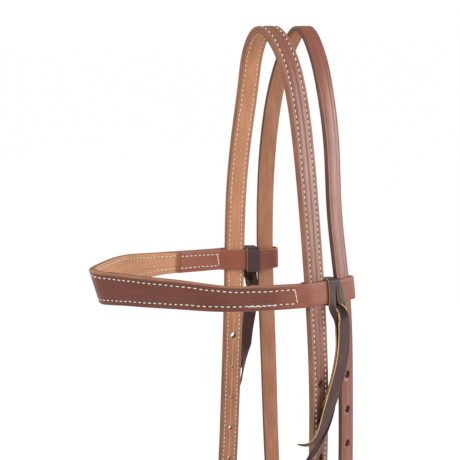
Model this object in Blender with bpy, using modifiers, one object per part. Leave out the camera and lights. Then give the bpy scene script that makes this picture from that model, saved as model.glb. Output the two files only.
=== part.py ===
"""Western headstall: browband bridle head without bit or reins.

One long doubled and stitched crown strap goes over the poll and carries a cheek strap
on each side.  A single throatlatch strap goes over the poll behind it, under the jaw
and into its buckle on the near side.  The lined browband ends in folded loops round
both straps, and a latigo thong ties each loop together between them.

Metres, +Z up.  +X is the horse's left (near) side and -Y is its forehead.  The origin
is the underside of the crown strap at the poll, where the headstall hangs.
"""
import math
from collections import namedtuple

import bmesh
import bpy
import numpy as np
from mathutils import Matrix, Vector

# Clearances
GAP = 0.0003              # between leathers and fittings that touch
LOOP_GAP = 0.0004         # between a browband loop and the straps inside it
OVERRUN = 0.004           # how far a cutter passes what it cuts
WELD = 0.00005            # merge distance

# Crown strap: two plies, stitched
CROWN_WIDTH = 0.01905
CROWN_PLY = 0.00255
CROWN_DROP = 0.420        # poll to where the strap runs straight
CROWN_SPREAD = 0.0753     # half the distance between the two sides there
CROWN_SETBACK = 0.0038    # how far the middle of each side lies behind the poll
CROWN_TWIST = math.radians(9.5)
CROWN_TIP = 0.012         # length of the rounded billet tip
CROWN_TIP_LAP = 0.052     # billet that lies beyond the buckle's heel bar
crown_outline_shares = (  # down, out, back, twist
    (0.0, 0.0, 0.0, 0.0),
    (0.036, 0.291, 0.40, 0.25),
    (0.107, 0.470, 1.0, 0.45),
    (0.214, 0.628, 0.95, 0.70),
    (0.357, 0.772, 0.70, 0.90),
    (0.524, 0.870, 0.95, 0.94),
    (0.714, 0.950, 0.90, 0.98),
    (0.905, 0.991, 0.16, 1.0),
    (1.0, 1.0, -0.40, 1.0),
)

# Punched holes, the same on crown and throatlatch
HOLE_WIDTH = 0.0060
HOLE_LENGTH = 0.0074
HOLE_PITCH = 0.0335
HOLE_PLAY = 0.0006        # room for the tongue in the used hole
CROWN_FIRST_HOLE = 0.292  # below the poll
CROWN_HOLES = 7
CROWN_USED_HOLE = 5
THROAT_FIRST_HOLE = 0.2945
THROAT_HOLES = 6
THROAT_USED_HOLE = 4

# Throatlatch strap: one ply
THROAT_WIDTH = 0.0159
THROAT_PLY = 0.0040
THROAT_DROP = 0.415
THROAT_SPREAD = 0.0614
THROAT_BEHIND = 0.0369    # behind the crown strap at the poll
THROAT_SETBACK = 0.0050   # how far its lower end lies behind its top
THROAT_TWIST = math.radians(10.5)
THROAT_TIP = 0.010
THROAT_TIP_LAP = 0.050
THROAT_TURNBACK = 0.034   # sewn end behind the heel bar
throat_outline_shares = (
    (0.0, 0.0, 0.0, 0.0),
    (0.036, 0.303, -0.14, 0.0),
    (0.108, 0.557, -0.48, 0.25),
    (0.217, 0.759, -0.74, 0.70),
    (0.361, 0.870, -0.94, 1.0),
    (0.530, 0.993, -0.16, 0.98),
    (0.723, 1.021, 0.54, 0.98),
    (0.916, 1.013, 0.90, 0.85),
    (1.0, 1.0, 1.0, 0.60),
)
JAW_DROP = 0.116          # heel bar to the bottom of the loop under the jaw
JAW_JOIN = 0.057          # heel bar to where the near end leaves the curve
jaw_outline_shares = (    # down, out, as shares of JAW_DROP and THROAT_SPREAD
    (0.29, 0.950),
    (0.67, 0.810),
    (0.92, 0.480),
)

# Straight lower stretches: run forward, outward and so on for each unit of drop
CHEEK_FORWARD_SLOPE = 0.060
CHEEK_OUTWARD_SLOPE = 0.018
THROAT_BACKWARD_SLOPE = 0.020
THROAT_INWARD_SLOPE = 0.045

# Browband: outer ply and lining
BAND_OUTER = 0.0024
BAND_LINING = 0.0025
BAND_FRONT_HEIGHT = 0.0293
BAND_LOOP_HEIGHT = 0.0198
BAND_SPREAD = 0.0693      # half width where the lining ends, before the crown strap
BAND_REACH = 0.1518       # from there to the front
BAND_BEFORE_POLL = 0.0120 # where that is, in front of the poll
BAND_LEVEL = 0.2112       # its middle below the poll there
BAND_RISE = 0.0169        # the front is this much higher
BAND_LEAN = math.radians(14)
BAND_LOOP_FALL = 0.09     # slope of the loops, down towards the rear
BAND_TAB = 0.050          # end sewn back on the lining
BAND_TAB_TRIM = 0.0006    # the tab is this much lower than the band
band_outline_shares = (   # out, forward, rise, height, lean
    (0.0, 0.993, 1.0, 1.0, 1.0),
    (0.064, 0.988, 0.998, 0.95, 0.98),
    (0.124, 0.969, 0.994, 0.90, 0.96),
    (0.188, 0.939, 0.988, 0.85, 0.93),
    (0.342, 0.866, 0.953, 0.71, 0.85),
    (0.494, 0.787, 0.899, 0.58, 0.75),
    (0.625, 0.700, 0.822, 0.45, 0.60),
    (0.736, 0.607, 0.692, 0.31, 0.45),
    (0.831, 0.511, 0.544, 0.17, 0.33),
    (0.902, 0.411, 0.414, 0.05, 0.22),
    (0.941, 0.307, 0.302, 0.01, 0.12),
    (0.967, 0.202, 0.189, 0.0, 0.04),
    (0.986, 0.097, 0.089, 0.0, -0.12),
    (1.0, 0.0, 0.0, 0.0, -0.30),
)

# Latigo ties
TIE_WIDTH = 0.0127
TIE_PLY = 0.0016
TIE_CORNER = 0.0015
TIE_END_LAP = 0.0100      # wrap's bottom to the middle of the knot
TAIL_GAP = 0.0005         # between the knot and the hanging ends below it
KNOT_WIDTH = 0.0095
KNOT_DRIFT = 0.0030       # the knot sits this much behind the wrap
KNOT_ROOM = 0.0005
TAIL_TOP_WIDTH = 0.0120
TAIL_DROP = 0.113
TAIL_SWEEP = 0.044
TAIL_STANDOFF = 0.0137
OFF_TAIL_SWAY_SHARE = 0.27
front_tail_shares = (     # down, forward, outward, curl outward with the sway, width
    (0.07, -0.07, 0.02, 0.0, 1.0),
    (0.19, -0.09, 0.12, 0.0, 1.0),
    (0.33, 0.0, 0.30, 0.0, 1.0),
    (0.47, 0.15, 0.49, 0.0, 1.0),
    (0.58, 0.29, 0.58, 0.0, 1.0),
    (0.69, 0.42, 0.67, 0.0, 0.92),
    (0.80, 0.55, 0.74, 0.0, 0.72),
    (0.91, 0.73, 0.85, 0.0, 0.42),
    (1.0, 1.0, 1.0, 0.0, 0.14),
)
back_tail_shares = (
    (0.07, -0.07, 0.02, 0.0, 1.0),
    (0.19, -0.08, 0.10, 0.0, 1.0),
    (0.33, 0.02, 0.26, 0.0, 1.0),
    (0.47, 0.18, 0.43, 0.0, 1.0),
    (0.58, 0.34, 0.50, 0.0, 0.90),
    (0.67, 0.50, 0.56, 0.0, 0.66),
    (0.76, 0.68, 0.62, 0.04, 0.45),
    (0.82, 0.88, 0.66, 0.14, 0.32),
    (0.84, 1.06, 0.68, 0.28, 0.22),
    (0.83, 1.24, 0.68, 0.44, 0.12),
)

# Cheek straps: one strap folded and sewn to itself
CHEEK_WIDTH = 0.01905
CHEEK_PLY = 0.0024
CHEEK_LENGTH = 0.115      # heel bar to the middle of the bit fold
CHEEK_BUTT = 0.052        # the sewn ends meet this far below the heel bar
CHEEK_BUTT_GAP = 0.0010
BIT_ROOM = 0.0050         # inner radius of the fold for the bit ring
BIT_SCREW_UP = 0.023      # screw above the middle of the bit fold
FOLD_BLEND = 0.016        # length over which a fold closes to a flat lap
BLEND_STEPS = 4
BIT_FOLD_STEPS = 7
BAR_FOLD_STEPS = 8

# Buckles
Buckle = namedtuple("Buckle", "bar reach inner_width tongue strap strap_width billet")
CHEEK_BUCKLE = Buckle(bar=0.00175, reach=0.028, inner_width=0.0205, tongue=0.0011,
                      strap=CHEEK_PLY, strap_width=CHEEK_WIDTH, billet=2 * CROWN_PLY + GAP)
THROAT_BUCKLE = Buckle(bar=0.0016, reach=0.027, inner_width=0.0173, tongue=0.0010,
                       strap=THROAT_PLY, strap_width=THROAT_WIDTH, billet=THROAT_PLY)
HEEL_CORNER = 0.0022
FRONT_CORNER = 0.0034
TONGUE_RISE = math.radians(58)   # slope of the tongue where it goes through the hole
TONGUE_EYE = math.radians(262)   # how far its eye goes round the heel bar
TONGUE_EYE_STEPS = 12
TONGUE_PLAY = math.radians(5)    # lift that the used hole leaves it
TONGUE_BEND = 0.0045      # length of the bend above the hole
TONGUE_TIP = 0.0022       # beyond the front bar
TONGUE_SLOT_SIDE = 0.0006 # room in the fold's slot on each side of the tongue
TONGUE_SLOT_DEPTH = 0.0075

# Keepers
KEEPER_PLY = 0.0018
KEEPER_WIDTH = 0.0100
KEEPER_ROOM = 0.0005
KEEPER_CORNER = 0.0016
FIXED_KEEPER_AT = 0.0185  # middle of the fixed keeper below the heel bar
SLIDING_KEEPER_AT = 0.0390

# Bit screws: a post through the cheek strap and its cap
SCREW_HEAD_RADIUS = 0.0046
SCREW_HEAD = 0.0012
SCREW_POST_RADIUS = 0.0022
SCREW_BORE_RADIUS = 0.0014
SCREW_SHANK_RADIUS = 0.0011
SCREW_BORE_FLOOR = 0.0010

# Finish of the solids
EDGE_ROUND = 0.0005
THIN_EDGE_ROUND = 0.0003
EDGE_ANGLE = math.radians(60)
SAMPLES_PER_SPAN = 24
STATION_TURN = math.radians(9)
STATION_REACH = 0.026
TWIST_WEIGHT = 5          # twist needs closer stations than bending
CORNER_STEPS = 4
TURN_STEPS = 7
HOLE_SIDES = 14
BAR_ROUND_STEPS = 2
SCREW_SIDES = 16

# The poll is at the underside of the crown strap, and the straps' middles lie above it
POLL_LIFT = CROWN_PLY + GAP / 2

Place = namedtuple("Place", "origin across up out")
FINISHES = {
    "bridle leather": ((0.30, 0.12, 0.075), 0.5, 0.0),
    "flesh side leather": ((0.48, 0.27, 0.16), 0.8, 0.0),
    "browband leather": ((0.22, 0.08, 0.055), 0.5, 0.0),
    "lining leather": ((0.60, 0.37, 0.20), 0.7, 0.0),
    "latigo leather": ((0.09, 0.055, 0.055), 0.55, 0.0),
    "stainless steel": ((0.62, 0.62, 0.60), 0.25, 1.0),
}


def unit(vector):
    """The vector at length one."""
    return vector / np.linalg.norm(vector)


def mirrored(vector):
    """A point or direction on the other side of the head."""
    return np.array((-vector[0], vector[1], vector[2]))


def mirrored_place(place):
    """A place on the other side of the head."""
    return Place(*(mirrored(vector) for vector in place))


def mirrored_edges(edges):
    """Cross edges on the other side of the head."""
    return [(mirrored(first), mirrored(last)) for first, last in edges]


def world(place, across=0.0, up=0.0, out=0.0):
    """A point given along the three directions of a place."""
    return place.origin + place.across * across + place.up * up + place.out * out


def moved(place, across=0.0, up=0.0, out=0.0):
    """The same directions at another point."""
    return place._replace(origin=world(place, across, up, out))


def cross_edge(place, width, up=0.0, out=0.0):
    """The two ends of an edge that crosses a strap at a place."""
    return world(place, -width / 2, up, out), world(place, width / 2, up, out)


def upright_edge(place, height, out=0.0):
    """The two ends of an edge that crosses the browband at a place."""
    return world(place, 0.0, -height / 2, out), world(place, 0.0, height / 2, out)


def smooth_through(rows):
    """Natural cubic curve through rows of numbers, of which the first three are a point."""
    rows = np.array(rows, dtype=float)
    spans = np.linalg.norm(np.diff(rows[:, :3], axis=0), axis=1)
    slopes = np.diff(rows, axis=0) / spans[:, None]
    system = np.eye(len(rows))
    target = np.zeros_like(rows)
    for k in range(1, len(rows) - 1):
        system[k, k - 1:k + 2] = spans[k - 1], 2 * (spans[k - 1] + spans[k]), spans[k]
        target[k] = 6 * (slopes[k] - slopes[k - 1])
    bend = np.linalg.solve(system, target)
    curve = []
    for k, span in enumerate(spans):
        for step in range(SAMPLES_PER_SPAN):
            ahead = step / SAMPLES_PER_SPAN
            behind = 1 - ahead
            curve.append(behind * rows[k] + ahead * rows[k + 1]
                         + ((behind ** 3 - behind) * bend[k]
                            + (ahead ** 3 - ahead) * bend[k + 1]) * span ** 2 / 6)
    curve.append(rows[-1])
    return np.array(curve)


def kept_samples(curve, first, last):
    """Sample numbers from first to last where the curve has turned or gone far enough."""
    kept = [first]
    turned = 0.0
    gone = 0.0
    for k in range(first + 1, last):
        before = unit(curve[k, :3] - curve[k - 1, :3])
        after = unit(curve[k + 1, :3] - curve[k, :3])
        turned += math.acos(min(1.0, float(before @ after)))
        turned += TWIST_WEIGHT * abs(float(curve[k, -1] - curve[k - 1, -1]))
        gone += float(np.linalg.norm(curve[k, :3] - curve[k - 1, :3]))
        if turned > STATION_TURN or gone > STATION_REACH:
            kept.append(k)
            turned = 0.0
            gone = 0.0
    kept.append(last)
    return kept


def rounded(corners, radii, closed=True):
    """A path through corners in a plane, with an arc at each corner that turns."""
    corners = [np.array(corner, dtype=float) for corner in corners]
    count = len(corners)
    points = []
    for k, corner in enumerate(corners):
        if not closed and k in (0, count - 1):
            points.append(corner)
            continue
        before = unit(corners[k - 1] - corner)
        after = unit(corners[(k + 1) % count] - corner)
        half = math.acos(float(before @ after)) / 2
        centre = corner + unit(before + after) * radii[k] / math.sin(half)
        start = corner + before * radii[k] / math.tan(half) - centre
        turn = math.copysign(math.pi - 2 * half, float(before[1] * after[0] - before[0] * after[1]))
        for step in range(CORNER_STEPS + 1):
            angle = turn * step / CORNER_STEPS
            points.append(centre + np.array((start[0] * math.cos(angle) - start[1] * math.sin(angle),
                                             start[0] * math.sin(angle) + start[1] * math.cos(angle))))
    return points


def blend(first, last, share):
    """From first to last, level at both ends."""
    return first + (last - first) * share * share * (3 - 2 * share)


def finish_of(name):
    """The material of that name, made once."""
    material = bpy.data.materials.get(name)
    if material is None:
        colour, roughness, metallic = FINISHES[name]
        material = bpy.data.materials.new(name)
        material.use_nodes = True
        shader = material.node_tree.nodes["Principled BSDF"]
        shader.inputs["Base Color"].default_value = (*colour, 1.0)
        shader.inputs["Roughness"].default_value = roughness
        shader.inputs["Metallic"].default_value = metallic
        material.diffuse_color = (*colour, 1.0)
    return material


def add_object(name, data, finish, origin):
    """Put a mesh or a curve in the headstall's collection, its origin at a point."""
    piece = bpy.data.objects.new(name, data)
    piece.location = Vector(origin)
    data.materials.append(finish_of(finish))
    parts.objects.link(piece)
    return piece


def strap(name, edges, thickness, finish, edge_round=EDGE_ROUND, closed=False, origin=None):
    """A band of leather: a cross edge carried through its places, then thickened."""
    origin = np.zeros(3) if origin is None else origin
    band = bmesh.new()
    sides = [Vector(side - origin) for side in edges[0]]
    edge = band.edges.new([band.verts.new(side) for side in sides])
    for pair in edges[1:] + (edges[:1] if closed else []):
        grown = bmesh.ops.extrude_edge_only(band, edges=[edge])["geom"]
        verts = [item for item in grown if isinstance(item, bmesh.types.BMVert)]
        edge = next(item for item in grown if isinstance(item, bmesh.types.BMEdge)
                    and all(vert in verts for vert in item.verts))
        verts.sort(key=lambda vert: (vert.co - sides[0]).length)
        sides = [Vector(side - origin) for side in pair]
        for vert, side in zip(verts, sides):
            vert.co = side
    bmesh.ops.remove_doubles(band, verts=band.verts, dist=WELD)
    mesh = bpy.data.meshes.new(name)
    band.to_mesh(mesh)
    band.free()
    piece = add_object(name, mesh, finish, origin)
    wall = piece.modifiers.new("thickness", "SOLIDIFY")
    wall.thickness = thickness
    wall.offset = 0
    wall.use_even_offset = True
    edging = piece.modifiers.new("edge", "BEVEL")
    edging.width = edge_round
    edging.segments = 1
    edging.limit_method = "ANGLE"
    edging.angle_limit = EDGE_ANGLE
    return piece


def wire(name, points, radius, finish, origin, closed=False):
    """A round bar bent through points."""
    curve = bpy.data.curves.new(name, "CURVE")
    curve.dimensions = "3D"
    curve.bevel_depth = radius
    curve.bevel_resolution = BAR_ROUND_STEPS
    curve.use_fill_caps = True
    spline = curve.splines.new("POLY")
    spline.points.add(len(points) - 1)
    for spot, point in zip(spline.points, points):
        spot.co = (*(point - origin), 1.0)
    spline.use_cyclic_u = closed
    return add_object(name, curve, finish, origin)


def turned(name, profile, finish, place):
    """A turned fitting whose axis points inwards at a place."""
    mesh = bpy.data.meshes.new(name)
    outline = bmesh.new()
    verts = [outline.verts.new((radius, 0.0, height)) for radius, height in profile]
    for first, last in zip(verts, verts[1:]):
        outline.edges.new((first, last))
    outline.to_mesh(mesh)
    outline.free()
    piece = add_object(name, mesh, finish, place.origin)
    columns = Matrix((place.up, np.cross(place.out, place.up), place.out)).transposed()
    piece.rotation_euler = columns.to_euler()
    lathe = piece.modifiers.new("turning", "SCREW")
    lathe.axis = "Z"
    lathe.angle = math.tau
    lathe.steps = SCREW_SIDES
    lathe.render_steps = SCREW_SIDES
    lathe.use_merge_vertices = True
    lathe.merge_threshold = WELD
    lathe.use_smooth_shade = True
    return piece


def cut(piece, name, build):
    """Take the shapes that build adds to an empty bmesh out of a piece."""
    shape = bmesh.new()
    build(shape)
    mesh = bpy.data.meshes.new(name)
    shape.to_mesh(mesh)
    shape.free()
    cutter = bpy.data.objects.new(name, mesh)
    cutter.hide_render = True
    cutter.display_type = "WIRE"
    cutters.objects.link(cutter)
    boolean = piece.modifiers.new(name, "BOOLEAN")
    boolean.operation = "DIFFERENCE"
    boolean.solver = "EXACT"
    boolean.object = cutter


def sized(place, across, up, out):
    """Matrix that scales a unit shape to three sizes and sets it at a place."""
    hand = math.copysign(1.0, float(np.cross(place.across, place.up) @ place.out))
    matrix = Matrix.Identity(4)
    columns = (place.across * across * hand, place.up * up, place.out * out, place.origin)
    for index, column in enumerate(columns):
        matrix.col[index][:3] = column
    return matrix


def oval_punch(holes, depth):
    """Builder of oval cutters; each hole is a place, a width and a length."""
    def build(shape):
        for place, width, length in holes:
            bmesh.ops.create_cone(shape, cap_ends=True, segments=HOLE_SIDES, radius1=1, radius2=1,
                                  depth=1, matrix=sized(place, width / 2, length / 2, depth))
    return build


def box_cutter(place, width, height, depth):
    """Builder of a box cutter centred on a place."""
    def build(shape):
        bmesh.ops.create_cube(shape, size=1, matrix=sized(place, width, height, depth))
    return build


# Straps over the poll

def head_rows(shares, drop, spread, behind, setback, twist, out_slope, back_slope, straight):
    """Rows of a strap's middle, off side to near side: point and sideways twist."""
    near = [(out * spread, behind + back * setback, POLL_LIFT - down * drop,
             math.sin(-twist * turn)) for down, out, back, turn in shares]
    x, y, z, turn = near[-1]
    near.append((x + out_slope * straight, y + back_slope * straight, z - straight, turn))
    return [(-x, y, z, -turn) for x, y, z, turn in near[:0:-1]] + near


def place_on(curve, k):
    """Place on a strap at a sample: up is back along the strap, out is its grain side."""
    along = unit(curve[min(k + 1, len(curve) - 1), :3] - curve[k - 1, :3])
    across = np.array((curve[k, 3], math.sqrt(1 - curve[k, 3] ** 2), 0.0))
    across = unit(across - along * (across @ along))
    return Place(curve[k, :3], across, -along, np.cross(along, across))


def knee_place(row, out_slope, back_slope):
    """Place where a strap starts to run straight on the near side."""
    along = unit(np.array((out_slope, back_slope, -1.0)))
    across = np.array((row[3], math.sqrt(1 - row[3] ** 2), 0.0))
    across = unit(across - along * (across @ along))
    return Place(np.array(row[:3]), across, -along, np.cross(along, across))


def below_poll(curve, knee, drop):
    """Place on the near side of a strap at a distance below the poll."""
    if drop > -knee.origin[2]:
        return moved(knee, up=(-drop - knee.origin[2]) / knee.up[2])
    middle = len(curve) // 2
    k = middle + int(np.argmin(np.abs(curve[middle:, 2] + drop)))
    place = place_on(curve, k)
    return moved(place, up=(-drop - place.origin[2]) / place.up[2])


def tip_edges(place, width, tip, lap):
    """Edges that end a billet in a rounded tip, a lap below the place."""
    return [cross_edge(place, width * math.sin(angle), up=tip - lap - tip * math.cos(angle))
            for angle in (math.pi / 2, math.pi / 3, math.pi / 5, math.pi / 9)]


crown_rows = head_rows(crown_outline_shares, CROWN_DROP, CROWN_SPREAD, 0.0, CROWN_SETBACK,
                       CROWN_TWIST, CHEEK_OUTWARD_SLOPE, -CHEEK_FORWARD_SLOPE, STATION_REACH)
crown_curve = smooth_through(crown_rows)
crown_knee = knee_place(crown_rows[-2], CHEEK_OUTWARD_SLOPE, -CHEEK_FORWARD_SLOPE)

throat_rows = head_rows(throat_outline_shares, THROAT_DROP, THROAT_SPREAD, THROAT_BEHIND,
                        THROAT_SETBACK, THROAT_TWIST, -THROAT_INWARD_SLOPE,
                        THROAT_BACKWARD_SLOPE, STATION_REACH)
throat_knee = knee_place(throat_rows[-2], -THROAT_INWARD_SLOPE, THROAT_BACKWARD_SLOPE)
throat_head_curve = smooth_through(throat_rows)


# Buckles

def eye_radius(buckle):
    """Radius of the tongue's eye, at the middle of its wire."""
    return buckle.bar + GAP + buckle.tongue


def tongue_up(buckle, out):
    """How far above the heel bar the tongue's shank is at a distance out from it."""
    eye = eye_radius(buckle)
    return eye * math.sin(TONGUE_RISE) + (out + eye * math.cos(TONGUE_RISE)) / math.tan(TONGUE_RISE)


def billet_inside(buckle):
    """Distance from the heel bar's middle out to the billet's inner face."""
    return buckle.bar + GAP + buckle.strap + GAP


def used_hole(buckle):
    """Lower and upper end of the hole that the tongue goes through, above the heel bar."""
    inside = billet_inside(buckle)
    half = buckle.tongue / math.sin(TONGUE_RISE) + HOLE_PLAY
    low = tongue_up(buckle, inside) - half - inside * math.sin(TONGUE_PLAY)
    return low, tongue_up(buckle, inside + buckle.billet) + half


def heel_place(curve, knee, buckle, hole_drop):
    """Place at the middle of the heel bar, for a tongue in the hole at that drop."""
    low, high = used_hole(buckle)
    hole = below_poll(curve, knee, hole_drop)
    return moved(hole, up=-(low + high) / 2, out=-(billet_inside(buckle) + buckle.billet / 2))


def punch_holes(curve, knee, buckle, first, count, used):
    """Places, widths and lengths of a billet's holes."""
    low, high = used_hole(buckle)
    return [(below_poll(curve, knee, first + k * HOLE_PITCH), HOLE_WIDTH,
             max(high - low, HOLE_LENGTH) if k == used else HOLE_LENGTH) for k in range(count)]


def buckle_frame(name, place, buckle):
    """The rectangular frame: heel bar in the strap's fold, front bar over the billet."""
    rise = billet_inside(buckle) + buckle.billet + GAP + buckle.bar
    tilt = math.asin(rise / buckle.reach)
    half = buckle.inner_width / 2 + buckle.bar
    outline = rounded([(-half, 0.0), (half, 0.0), (half, buckle.reach), (-half, buckle.reach)],
                      (HEEL_CORNER, HEEL_CORNER, FRONT_CORNER, FRONT_CORNER))
    points = [world(place, side, ahead * math.cos(tilt), ahead * math.sin(tilt))
              for side, ahead in outline]
    return wire(name, points, buckle.bar, "stainless steel", place.origin, closed=True)


def buckle_tongue(name, place, buckle):
    """The tongue: an eye round the heel bar, up through the hole, over the front bar."""
    eye = eye_radius(buckle)
    leave = TONGUE_RISE - math.pi / 2
    path = [(eye * math.cos(leave - TONGUE_EYE * (1 - k / TONGUE_EYE_STEPS)),
             eye * math.sin(leave - TONGUE_EYE * (1 - k / TONGUE_EYE_STEPS)))
            for k in range(TONGUE_EYE_STEPS + 1)]
    face = billet_inside(buckle) + buckle.billet
    rise = face + GAP + buckle.bar
    front = math.sqrt(buckle.reach ** 2 - rise ** 2)
    clear = face + GAP + buckle.tongue
    over = rise + buckle.bar + GAP + buckle.tongue
    top = (tongue_up(buckle, clear), clear)
    corners = [(path[-1][0], path[-1][1]), top, (front, over),
               (front + buckle.bar + TONGUE_TIP, over - GAP)]
    bent = rounded(corners, (0.0, TONGUE_BEND, TONGUE_BEND, 0.0), closed=False)
    path += [tuple(point) for point in bent[1:]]
    points = [world(place, 0.0, up, out) for up, out in path]
    return wire(name, points, buckle.tongue, "stainless steel", place.origin)


def bar_fold(buckle):
    """Lap level and path of a strap's fold over the heel bar, from inside to outside."""
    middle = buckle.bar + GAP + buckle.strap / 2
    lap = middle - buckle.strap - GAP
    path = [(-FOLD_BLEND * (1 - k / BLEND_STEPS), blend(lap, -middle, k / BLEND_STEPS))
            for k in range(BLEND_STEPS)]
    path += [(middle * math.sin(math.pi * k / BAR_FOLD_STEPS),
              -middle * math.cos(math.pi * k / BAR_FOLD_STEPS)) for k in range(BAR_FOLD_STEPS + 1)]
    return lap, middle, path


def tongue_slot(piece, place, buckle, name):
    """Slot in a strap's fold, where the tongue's eye turns on the heel bar."""
    outer = buckle.bar + GAP + buckle.strap
    top = outer + OVERRUN
    inner = -outer - OVERRUN
    face = outer + GAP / 2
    centre = moved(place, up=(top - TONGUE_SLOT_DEPTH) / 2, out=(face + inner) / 2)
    cut(piece, name, box_cutter(centre, 2 * (buckle.tongue + TONGUE_SLOT_SIDE),
                                top + TONGUE_SLOT_DEPTH, face - inner))


def keeper(name, place, buckle, below, own_origin):
    """A leather band round billet and strap below the heel bar."""
    lap, middle, _ = bar_fold(buckle)
    inner = lap - buckle.strap / 2
    outer = billet_inside(buckle) + buckle.billet
    half_out = (outer - inner) / 2 + KEEPER_ROOM + KEEPER_PLY / 2
    half_across = buckle.strap_width / 2 + KEEPER_ROOM + KEEPER_PLY / 2
    centre = moved(place, up=-below, out=(outer + inner) / 2)
    ring = rounded([(-half_across, -half_out), (half_across, -half_out),
                    (half_across, half_out), (-half_across, half_out)], [KEEPER_CORNER] * 4)
    edges = [(world(centre, side, -KEEPER_WIDTH / 2, out), world(centre, side, KEEPER_WIDTH / 2, out))
             for side, out in ring]
    origin = centre.origin if own_origin else None
    strap(name, edges, KEEPER_PLY, "bridle leather", THIN_EDGE_ROUND, closed=True, origin=origin)


def fittings(side, place, buckle):
    """Buckle, tongue and keepers at a heel bar."""
    buckle_frame(side + "_buckle", place, buckle)
    buckle_tongue(side + "_tongue", place, buckle)
    keeper(side + "_fixed_keeper", place, buckle, FIXED_KEEPER_AT, False)
    keeper(side + "_sliding_keeper", place, buckle, SLIDING_KEEPER_AT, True)


# Crown strap

cheek_heel = heel_place(crown_curve, crown_knee, CHEEK_BUCKLE,
                        CROWN_FIRST_HOLE + CROWN_USED_HOLE * HOLE_PITCH)
throat_heel = heel_place(throat_head_curve, throat_knee, THROAT_BUCKLE,
                         THROAT_FIRST_HOLE + THROAT_USED_HOLE * HOLE_PITCH)


def billet_end(knee, heel, buckle, width, tip, lap):
    """Edges of a billet from its knee to its tip."""
    beside = moved(heel, out=billet_inside(buckle) + buckle.billet / 2)
    return [cross_edge(knee, width)] + tip_edges(beside, width, tip, lap)


def shifted(edges, offset):
    """Edges of one ply of a doubled strap: each pair moves along its own normal."""
    result = []
    for k, (first, last) in enumerate(edges):
        before = sum(edges[max(k - 1, 0)]) / 2
        after = sum(edges[min(k + 1, len(edges) - 1)]) / 2
        normal = unit(np.cross(after - before, last - first))
        result.append((first + normal * offset, last + normal * offset))
    return result


def crown():
    """Outer ply and lining ply of the crown strap, punched together."""
    last = len(crown_curve) - 1 - SAMPLES_PER_SPAN
    near = [cross_edge(place_on(crown_curve, k), CROWN_WIDTH)
            for k in kept_samples(crown_curve, len(crown_curve) // 2, last)[:-1]]
    near += billet_end(crown_knee, cheek_heel, CHEEK_BUCKLE, CROWN_WIDTH, CROWN_TIP, CROWN_TIP_LAP)
    edges = mirrored_edges(near)[:0:-1] + near
    offset = (CROWN_PLY + GAP) / 2
    holes = punch_holes(crown_curve, crown_knee, CHEEK_BUCKLE, CROWN_FIRST_HOLE, CROWN_HOLES,
                        CROWN_USED_HOLE)
    holes += [(mirrored_place(place), width, length) for place, width, length in holes]
    for name, side, finish in (("crown_outer_ply", offset, "bridle leather"),
                               ("crown_lining_ply", -offset, "flesh side leather")):
        ply = strap(name, shifted(edges, side), CROWN_PLY, finish)
        cut(ply, name + "_punch", oval_punch(holes, CHEEK_BUCKLE.billet + OVERRUN))


# Throatlatch strap

def throatlatch():
    """One strap: buckle end, under the jaw, up the off side, over the poll, near billet."""
    buckle = THROAT_BUCKLE
    lap, middle, fold = bar_fold(buckle)
    knee = throat_rows[-2]
    beside_knee = moved(throat_knee, out=-(billet_inside(buckle) + buckle.billet / 2))
    lower = min(throat_heel, beside_knee, key=lambda place: place.origin[2])
    jaw = []
    for down, out in jaw_outline_shares:
        level = lower.origin[2] - JAW_DROP * down
        jaw.append((out * THROAT_SPREAD, knee[1] + THROAT_BACKWARD_SLOPE * (knee[2] - level), level,
                    knee[3] * (1 - down)))
    inset = buckle.strap + GAP
    near_jaw = [(x - inset, y, z, turn) for x, y, z, turn in jaw[1:]]
    level = lower.origin[2] - JAW_DROP
    bottom = (0.0, knee[1] + THROAT_BACKWARD_SLOPE * (knee[2] - level), level, 0.0)
    off_jaw = [(-x, y, z, -turn) for x, y, z, turn in jaw[::-1]]
    start = [(*world(lower, 0.0, rise - JAW_JOIN, middle), knee[3])
             for rise in (STATION_REACH, 0.0)]
    rows = start + near_jaw + [bottom] + off_jaw + throat_rows[1:]
    curve = smooth_through(rows)
    last = len(curve) - 1 - SAMPLES_PER_SPAN
    body = [cross_edge(place_on(curve, k), THROAT_WIDTH)
            for k in kept_samples(curve, SAMPLES_PER_SPAN, last)[1:-1]]
    end = [cross_edge(throat_heel, THROAT_WIDTH, -THROAT_TURNBACK, lap)]
    end += [cross_edge(throat_heel, THROAT_WIDTH, up, out) for up, out in fold]
    end += [cross_edge(lower, THROAT_WIDTH, -JAW_JOIN, middle)]
    edges = end + body + billet_end(throat_knee, throat_heel, buckle, THROAT_WIDTH, THROAT_TIP,
                                    THROAT_TIP_LAP)
    piece = strap("throatlatch_strap", edges, THROAT_PLY, "bridle leather")
    holes = punch_holes(throat_head_curve, throat_knee, buckle, THROAT_FIRST_HOLE, THROAT_HOLES,
                        THROAT_USED_HOLE)
    cut(piece, "throatlatch_punch", oval_punch(holes, THROAT_PLY + 2 * GAP))
    tongue_slot(piece, throat_heel, buckle, "throatlatch_slot")
    fittings("throatlatch", throat_heel, buckle)


# Browband

crown_level = BAND_LEVEL + BAND_LOOP_FALL * (BAND_BEFORE_POLL + CROWN_SETBACK)
crown_in_loop = below_poll(crown_curve, crown_knee, crown_level)
throat_level = crown_level + BAND_LOOP_FALL * THROAT_BEHIND
throat_in_loop = below_poll(throat_head_curve, throat_knee, throat_level)
CROWN_CLEAR = CHEEK_BUCKLE.billet / 2 + LOOP_GAP + BAND_OUTER / 2
THROAT_CLEAR = THROAT_PLY / 2 + LOOP_GAP + BAND_OUTER / 2


def loop_edge(place, back, out):
    """Cross edge of a loop beside one of the straps inside it."""
    middle = moved(place, across=back, up=-back * BAND_LOOP_FALL)
    return upright_edge(middle, BAND_LOOP_HEIGHT, out)


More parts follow.
